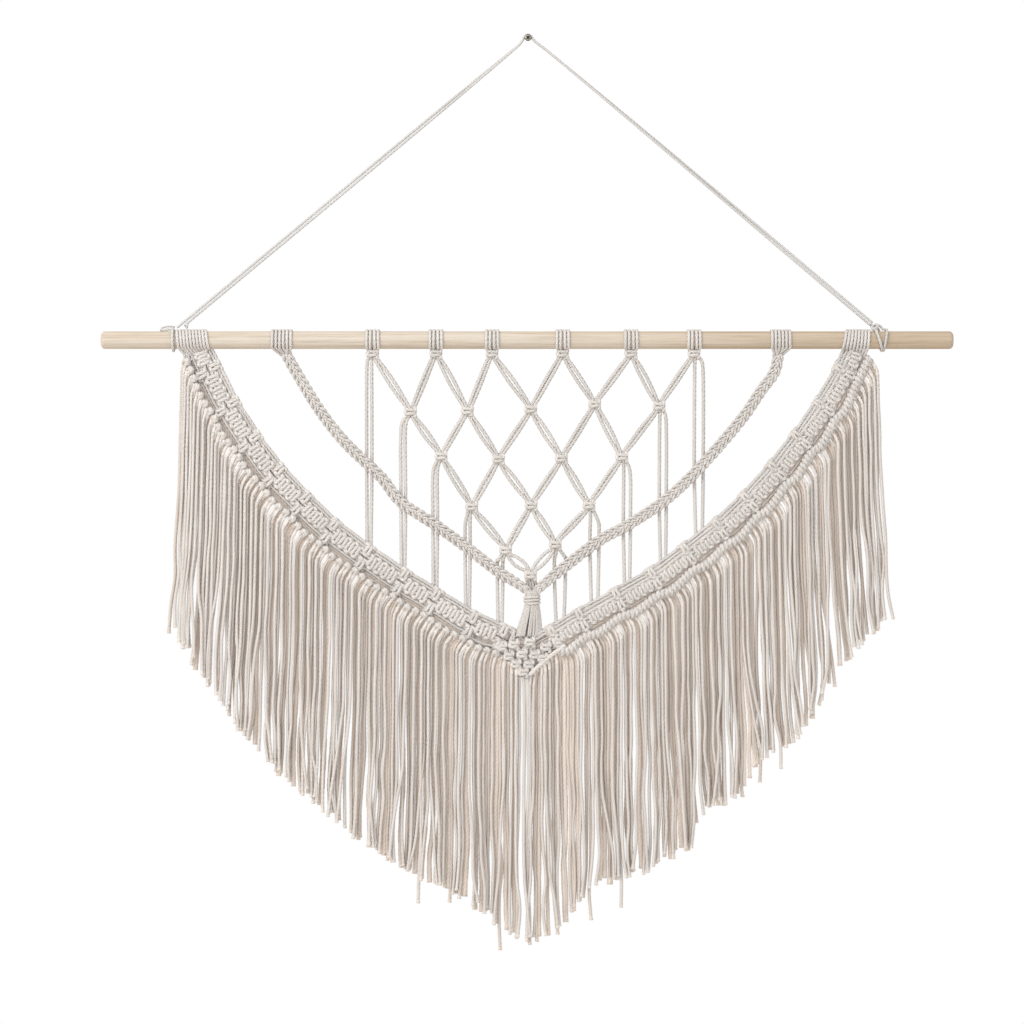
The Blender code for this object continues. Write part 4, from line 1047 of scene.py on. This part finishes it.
for side, name in ((-1, "braid_left"), (1, "braid_right")):
    spot = Ribbon((*BRAIDS[side], (GATHER_X + side * BRAID_END_SHIFT, GATHER_TOP_Z)), side, BRAID_SECTIONS)
    length = spot.lengths[-1]
    plait = Cordage(seed=40 + side)
    plaited = []
    for ply in range(3):
        for pair in (-1, 1):
            route = []
            for down in np.arange(BRAID_START, length + BRAID_START, BRAID_ROUTE_STEP):
                phase = 2 * pi * (down / BRAID_PERIOD + ply / 3)
                near_end = max(0.0, 1 - (length - down) / BRAID_END_RUN)
                narrower = 1.0 - BRAID_END_NARROWER * near_end
                across = BRAID_SWING * sin(phase) * narrower
                front = BRAID_LIFT * sin(2 * phase) + BRAID_END_FRONT * near_end
                slope = np.array((1.0, BRAID_SWING * cos(phase) * 2 * pi / BRAID_PERIOD))
                slope /= np.linalg.norm(slope)
                beside = pair * BRAID_CORD * BRAID_BESIDE * narrower
                route.append(spot(across + beside * slope[0], front, down - beside * slope[1] * BRAID_SLOPED))
            plaited.append(route)
            plait.lay(route, BRAID_CORD, BRAID_STEP)
    plaited.sort(key=lambda route: route[0][0])
    wraps = np.linspace(*BRAID_WRAPS[side], len(plaited))
    larks_heads(plait, wraps, wraps, [[route[0], route[2]] for route in plaited])
    plait.piece(name + "_plait", macrame_cotton, "cotton_cord", name)


# The gathering knot: the net's last four cords and the braids are bound by a few turns of cord, and their
# ends flare out below it down to the band.
GATHER_SECTIONS = (
    # drop below the top, half width, half depth
    (-0.0020, 0.0062, 0.0040), (0.0030, 0.0062, 0.0044), (0.0080, 0.0060, 0.0044), (0.0130, 0.0064, 0.0042),
    (0.0220, 0.0082, 0.0040), (0.0320, 0.0104, 0.0036), (0.0420, 0.0122, 0.0028), (0.0480, 0.0128, 0.0020),
)
GATHER_ENDS = 26
GATHER_CORD = 0.00158
# The ends don't stand quite evenly, and lean to the left below this drop
GATHER_UNEVEN = 0.06
GATHER_SWAY = 0.0003
GATHER_STRAIGHT = 0.02
GATHER_LEAN = 0.12
# The turns of the cord that binds them: how many, half their width and depth, and how far down they begin
BINDING_TURNS = 2.6
BINDING_POINTS = 40
BINDING_WIDTH = 0.0080
BINDING_DEPTH = 0.0058
BINDING_TOP = 0.0038
BINDING_PITCH = 0.00054
BINDING_CORD = 0.0016
BINDING_STEP = 0.0014

gather = Cordage(seed=50)
for k in range(GATHER_ENDS):
    angle = 2 * pi * k / GATHER_ENDS + gather.chance.uniform(-GATHER_UNEVEN, GATHER_UNEVEN)
    sway = gather.chance.uniform(-GATHER_SWAY, GATHER_SWAY)
    route = []
    for drop, wide, deep in GATHER_SECTIONS:
        middle_x = GATHER_X - GATHER_LEAN * max(0.0, drop - GATHER_STRAIGHT)
        route.append((middle_x + wide * cos(angle) + sway * (drop / GATHER_STRAIGHT),
                      CLOTH_Y - deep * sin(angle), GATHER_TOP_Z - drop))
    gather.lay(route, GATHER_CORD)
angles = np.linspace(0.0, 2 * pi * BINDING_TURNS, BINDING_POINTS)
gather.lay([(GATHER_X + BINDING_WIDTH * sin(angle), CLOTH_Y + BINDING_DEPTH * cos(angle),
             GATHER_TOP_Z - BINDING_TOP - BINDING_PITCH * angle) for angle in angles],
           BINDING_CORD, BINDING_STEP)
gather.piece("gathering_knot", macrame_cotton, "cotton_cord", "centre_gather")


# The fringe: long cords hung side by side from a carrying cord under the band, each pair held by a knob of
# its own folded cord, then left to fall straight and cut to the long V of the hem.
RIDGE_STEP = 0.0049
RIDGE_OFFSET = 0.0184
# Along a panel and across from the ridge's own line: how the carrying cord sags between two ties
RIDGE_SAGS = {-1: ((0.0, 0.0), (0.5, 0.0024)), 1: ((0.10, -0.0024), (0.5, -0.0002), (0.90, 0.0016))}
FRINGE_TOPS = {-1: (-0.3675, -0.3438), 1: (0.3668, -0.3440)}
FRINGE_TIP = (0.0010, -0.6838)
TIP_HALF = 0.0041
# Between these x the cords hang straight from the knots of the band, with no knobs
RIDGE_BARE = (-0.030, 0.036)
CARRIER_CORD = 0.0020
CARRIER_STEP = 0.003
KNOB_CORD = {-1: 0.0029, 1: 0.0028}
KNOB_STEP = 0.0012
KNOB_TWIST = 0.011
# The turns of each knob round the carrying cord: place along it in steps from cord to cord, angle and reach.
# On the left a pair is held by one short plump roll, on the right each cord takes a turn of its own.
KNOB_LEFT = ((-0.23, 150, 0.0012), (-0.42, 112, 0.0032), (-0.34, 84, 0.0050), (-0.11, 78, 0.0058),
             (0.11, 78, 0.0058), (0.34, 84, 0.0050), (0.42, 112, 0.0032), (0.23, 150, 0.0012))
KNOB_RIGHT = ((-0.34, -40, 0.0018), (-0.24, 10, 0.0026), (-0.08, 58, 0.0044), (0.04, 95, 0.0050),
              (0.16, 135, 0.0042), (0.26, 175, 0.0028), (0.34, 215, 0.0016))
KNOB_TURNS = {-1: ((0.5, KNOB_LEFT),), 1: ((0.0, KNOB_RIGHT), (1.0, KNOB_RIGHT))}
# How a cord leaves the carrying cord: angle and reach in front of it, and below it where there is a knob
LEAVES_FRONT = (95.0, 0.0030)
LEAVES_BELOW = (140.0, 0.0042)
# How far from the carrying cord's middle it is then, with a knob and without
KNOB_OUT = 0.0034
BARE_OUT = 0.0014
# The two cords of a pair are closer by this share of a step, and shifted together by up to this much
PAIR_CLOSER = 0.10
PAIR_SHIFT = 0.0010
FRINGE_CORD = 0.0020
FRINGE_STEP = 0.0025
FRINGE_CUT = 1.12
# y of the cords in front, of those between and of those at the back
LAYER_YS = (-0.0178, -0.0146, -0.0114)
# The share of the cords that hang back in the shade of the others, drawn in the cotton with painted shade
SHADED_CORDS = 0.26
# One more cord hangs behind wherever two neighbours are further apart than this. Its radius is this share of
# the gap, kept between two radii for each half.
GAP_FROM = 0.0040
GAP_SHARE = 0.53
GAP_CORD = {-1: (0.0027, 0.0036), 1: (0.0022, 0.0031)}
GAP_CORD_BACK = 0.0024
GAP_CORD_STEP = 0.0028
GAP_CORD_TOP = (180.0, 0.0012)
# The two cords of each half that hang from the tip itself
TIP_CORDS = (0.0021, 0.0062)
TIP_CORDS_UP = 0.004
# From its knob a cord goes outwards and down to here, and less far out where the band is steep
SHOULDER_DROP = 0.0150
SHOULDER_OUT = 0.0070
STEEP_OUT = 0.0022
STEEP_FROM_X = -0.30
STEEP_BLEND = 0.06
# Near the tip the cords of both halves lean together instead
TIP_REACH = 0.060
TIP_INWARD = 0.0026
HEM = (
    (-0.385, -0.628), (-0.354, -0.677), (-0.321, -0.724), (-0.276, -0.782), (-0.224, -0.825),
    (-0.179, -0.860), (-0.142, -0.885), (-0.093, -0.911), (-0.062, -0.926), (-0.021, -0.960),
    (0.002, -0.971), (0.034, -0.956), (0.053, -0.931), (0.075, -0.907), (0.131, -0.892),
    (0.174, -0.868), (0.190, -0.825), (0.230, -0.811), (0.249, -0.771), (0.285, -0.754),
    (0.315, -0.716), (0.332, -0.674), (0.354, -0.652), (0.385, -0.622),
)
# How far out the outermost cord has drifted at the hem, how uneven the ends are, and how far below the hem's
# line they are cut
HEM_DRIFT = 0.012
HEM_SCATTER = 0.003
HEM_LOWER = 0.001
# The ends of single cords that hang lower than the hem, and how near to one a cord has to end to reach it
STRAYS = (
    (-0.3870, -0.640), (-0.1127, -0.929), (-0.0816, -0.929), (-0.0258, -0.980),
    (0.0622, -0.948), (0.0966, -0.934), (0.2463, -0.800), (0.2635, -0.785),
)
STRAY_REACH = 0.0060
# Cords draw together into tufts towards their ends: the width of a tuft and how far it closes
TUFT_WIDTH = 0.0145
TUFT_PULL = 0.28
# The share of the cords that cross their neighbours lower down, how far across and in front they then go,
# and from which share of their length on
CROSSING_CORDS = {-1: 0.22, 1: 0.32}
CROSSING_WIDTH = (0.004, 0.011)
CROSSING_FRONT = 0.0030
CROSSING_FROM = 0.45
# How freely the cords of each half wander, and those behind, and how far they wander at the shoulder, at the
# end, from point to point and in front
WANDER = {-1: 1.0, 1: 1.4}
REAR_WANDER = 0.45
SHOULDER_WANDER = 0.0004
END_WANDER = 0.0013
POINT_WANDER = 0.0008
FRONT_WANDER = 0.0006
FALL_STRETCH = 0.030
# The waves in which neighbours sway together: size, radians a metre along x and z, and start
SWAYS = ((0.0009, 47.0, 38.0, 0.0), (0.0008, 131.0, -61.0, 2.0))

fringe_cotton = cotton(
    "fringe_cord", crest=(0.895, 0.86, 0.83), flank=(0.89, 0.83, 0.77), valley_shade=(0.87, 0.77, 0.68), fibre=0.4)
strays_hung = set()


def fringe_fall(root, layer, side, chance, rear=False):
    """The route of one fringe cord from the carrying cord down to the hem. Cords that hang side by side sway
    together, and wander from each other a little towards their ends."""
    wander = REAR_WANDER if rear else WANDER[side]
    near_tip = min(1.0, abs(root[0] - FRINGE_TIP[0]) / TIP_REACH)
    steep = max(0.0, min(1.0, (STEEP_FROM_X - root[0]) / STEEP_BLEND))
    out = SHOULDER_OUT + (STEEP_OUT - SHOULDER_OUT) * steep
    out = out * near_tip - TIP_INWARD * (1 - near_tip)
    x = root[0] + side * out + chance.uniform(-SHOULDER_WANDER, SHOULDER_WANDER)
    y = LAYER_YS[layer]
    end_x = x + HEM_DRIFT * (x / HEM[-1][0]) + chance.gauss(0.0, END_WANDER) * wander
    crossing = chance.choice((-1.0, 1.0)) * chance.uniform(*CROSSING_WIDTH)
    crossing *= layer < 2 and chance.random() < CROSSING_CORDS[side] and abs(end_x + crossing) < HEM[-1][0]
    end_z = height_at(HEM, end_x + crossing) + chance.gauss(0.0, HEM_SCATTER) - HEM_LOWER
    tuft_x = TUFT_WIDTH * round(end_x / TUFT_WIDTH + 0.2 * sin(19.0 * end_x / TUFT_WIDTH))
    tuft = 0.0 if rear else TUFT_PULL * (tuft_x - end_x)
    for stray_end in STRAYS:
        if not rear and stray_end not in strays_hung and abs(end_x - stray_end[0]) < STRAY_REACH:
            end_z = stray_end[1]
            strays_hung.add(stray_end)
    shoulder_z = root[1] - SHOULDER_DROP
    route = [(root[0] + (x - root[0]) * 0.45, max(y, CLOTH_Y - 0.0014), root[1] - SHOULDER_DROP * 0.27),
             (root[0] + (x - root[0]) * 0.84, y, root[1] - SHOULDER_DROP * 0.60), (x, y, shoulder_z)]
    stretches = max(3, round((shoulder_z - end_z) / FALL_STRETCH))
    stray = 0.0
    for k in range(1, stretches + 1):
        t = k / stretches
        z = shoulder_z + (end_z - shoulder_z) * t
        stray = stray * 0.7 + chance.gauss(0.0, POINT_WANDER) * (0.3 + 1.3 * t * t) * wander
        sway = t * sum(size * sin(by_x * x + by_z * z + start) for size, by_x, by_z, start in SWAYS)
        late = max(0.0, t - CROSSING_FROM) / (1 - CROSSING_FROM)
        front = CROSSING_FRONT * min(1.0, 3 * late) * (crossing != 0.0)
        route.append((x + (end_x - x) * t ** 1.5 + crossing * late ** 1.4 + tuft * late ** 2 + stray + sway,
                      y - front + chance.uniform(-FRONT_WANDER, FRONT_WANDER) * t, z))
    return route


class Carrier:
    """The line of the cord that carries one half of the fringe, in even steps from one fringe cord to the
    next."""

    def __init__(self, side):
        spot = ribbons[side]
        places = [FRINGE_TOPS[side]]
        for start, end in zip(spot.nodes[1:-1], spot.nodes[2:]):
            for share, sag in RIDGE_SAGS[side]:
                x, _, z = spot(-RIDGE_OFFSET - sag, 0.0, start * (1 - share) + end * share)
                places.append((x, z))
        places.append((FRINGE_TIP[0] + side * TIP_HALF, FRINGE_TIP[1]))
        self.line = evenly(np.insert(smooth(places, 4), 1, 0.0, axis=1), RIDGE_STEP)
        run = np.gradient(self.line, axis=0)[:-1]
        run /= np.linalg.norm(run, axis=1)[:, None]
        self.outward = np.stack([-side * run[:, 2], np.zeros(len(run)), side * run[:, 0]], axis=1)
        self.middles = (self.line[1:] + self.line[:-1]) / 2

    def around(self, place, angle, reach):
        """A point round the cord, this many steps along it. Angle 0 is towards the band, 90 the front."""
        k = min(max(int(place), 0), len(self.middles) - 2)
        t = place - k
        middle = self.middles[k] * (1 - t) + self.middles[k + 1] * t
        outward = self.outward[k] * (1 - t) + self.outward[k + 1] * t
        x, _, z = middle - outward * reach * cos(radians(angle))
        return (x, CLOTH_Y - reach * sin(radians(angle)), z)


for side, name in ((-1, "fringe_left"), (1, "fringe_right")):
    carrier = Carrier(side)
    ridge = Cordage(seed=60 + side)
    front = Cordage(seed=70 + side)
    back = Cordage(seed=80 + side)
    ridge.lay([(x, CLOTH_Y, z) for x, _, z in carrier.line], CARRIER_CORD, CARRIER_STEP)
    roots = []
    for i in range(0, len(carrier.middles) - 1, 2):
        bare = RIDGE_BARE[0] < carrier.middles[i][0] < RIDGE_BARE[1]
        shift = front.chance.uniform(-PAIR_SHIFT, PAIR_SHIFT)
        for j, other, closer in ((i, i + 1, PAIR_CLOSER), (i + 1, i, -PAIR_CLOSER)):
            root = carrier.middles[j] * (1 - PAIR_CLOSER) + carrier.middles[other] * PAIR_CLOSER
            root = root + carrier.outward[j] * (BARE_OUT if bare else KNOB_OUT)
            shaded = front.chance.random() < SHADED_CORDS
            roots.append(np.array((root[0] + shift, root[2])))
            fall = fringe_fall(roots[-1], 2 if shaded else j % 2, side, front.chance)
            leaving = (LEAVES_FRONT,) if bare else (LEAVES_FRONT, LEAVES_BELOW)
            start = [carrier.around(j + closer, *place) for place in leaving]
            (back if shaded else front).lay(start + fall, FRINGE_CORD, FRINGE_STEP, cut=FRINGE_CUT)
        knob = () if bare else KNOB_TURNS[side]
        for beside, turn in knob:
            route = [carrier.around(i + beside + place, angle, reach) for place, angle, reach in turn]
            ridge.lay(route, KNOB_CORD[side], KNOB_STEP, KNOB_TWIST)
    chance = Random(90 + side)
    thin, thick = GAP_CORD[side]
    for i, (root, following) in enumerate(zip(roots, roots[1:])):
        apart = abs(following[0] - root[0])
        if apart < GAP_FROM:
            continue
        fall = fringe_fall((root + following) / 2, 2, side, chance, rear=True)
        route = [carrier.around(i + 0.5, *GAP_CORD_TOP)] + [(x, y + GAP_CORD_BACK, z) for x, y, z in fall]
        back.lay(route, min(thick, max(thin, GAP_SHARE * apart)), GAP_CORD_STEP, cut=FRINGE_CUT)
    for from_tip in TIP_CORDS:
        x = FRINGE_TIP[0] + side * from_tip
        fall = fringe_fall((x, FRINGE_TIP[1]), 1, side, chance)
        shift = x - fall[0][0]
        route = [(x, CLOTH_Y, FRINGE_TIP[1] + TIP_CORDS_UP)] + [(a + shift, b, c) for a, b, c in fall]
        front.lay(route, FRINGE_CORD, FRINGE_STEP, cut=FRINGE_CUT)
    ridge.piece(name + "_ridge", macrame_cotton, "cotton_cord", name)
    front.piece(name + "_front", fringe_cotton, "cotton_cord", name)
    # The shaded cords and those behind the gaps, drawn in the cotton with painted shade
    back.piece(name + "_back", painted_shade_cotton, "cotton_cord", name)
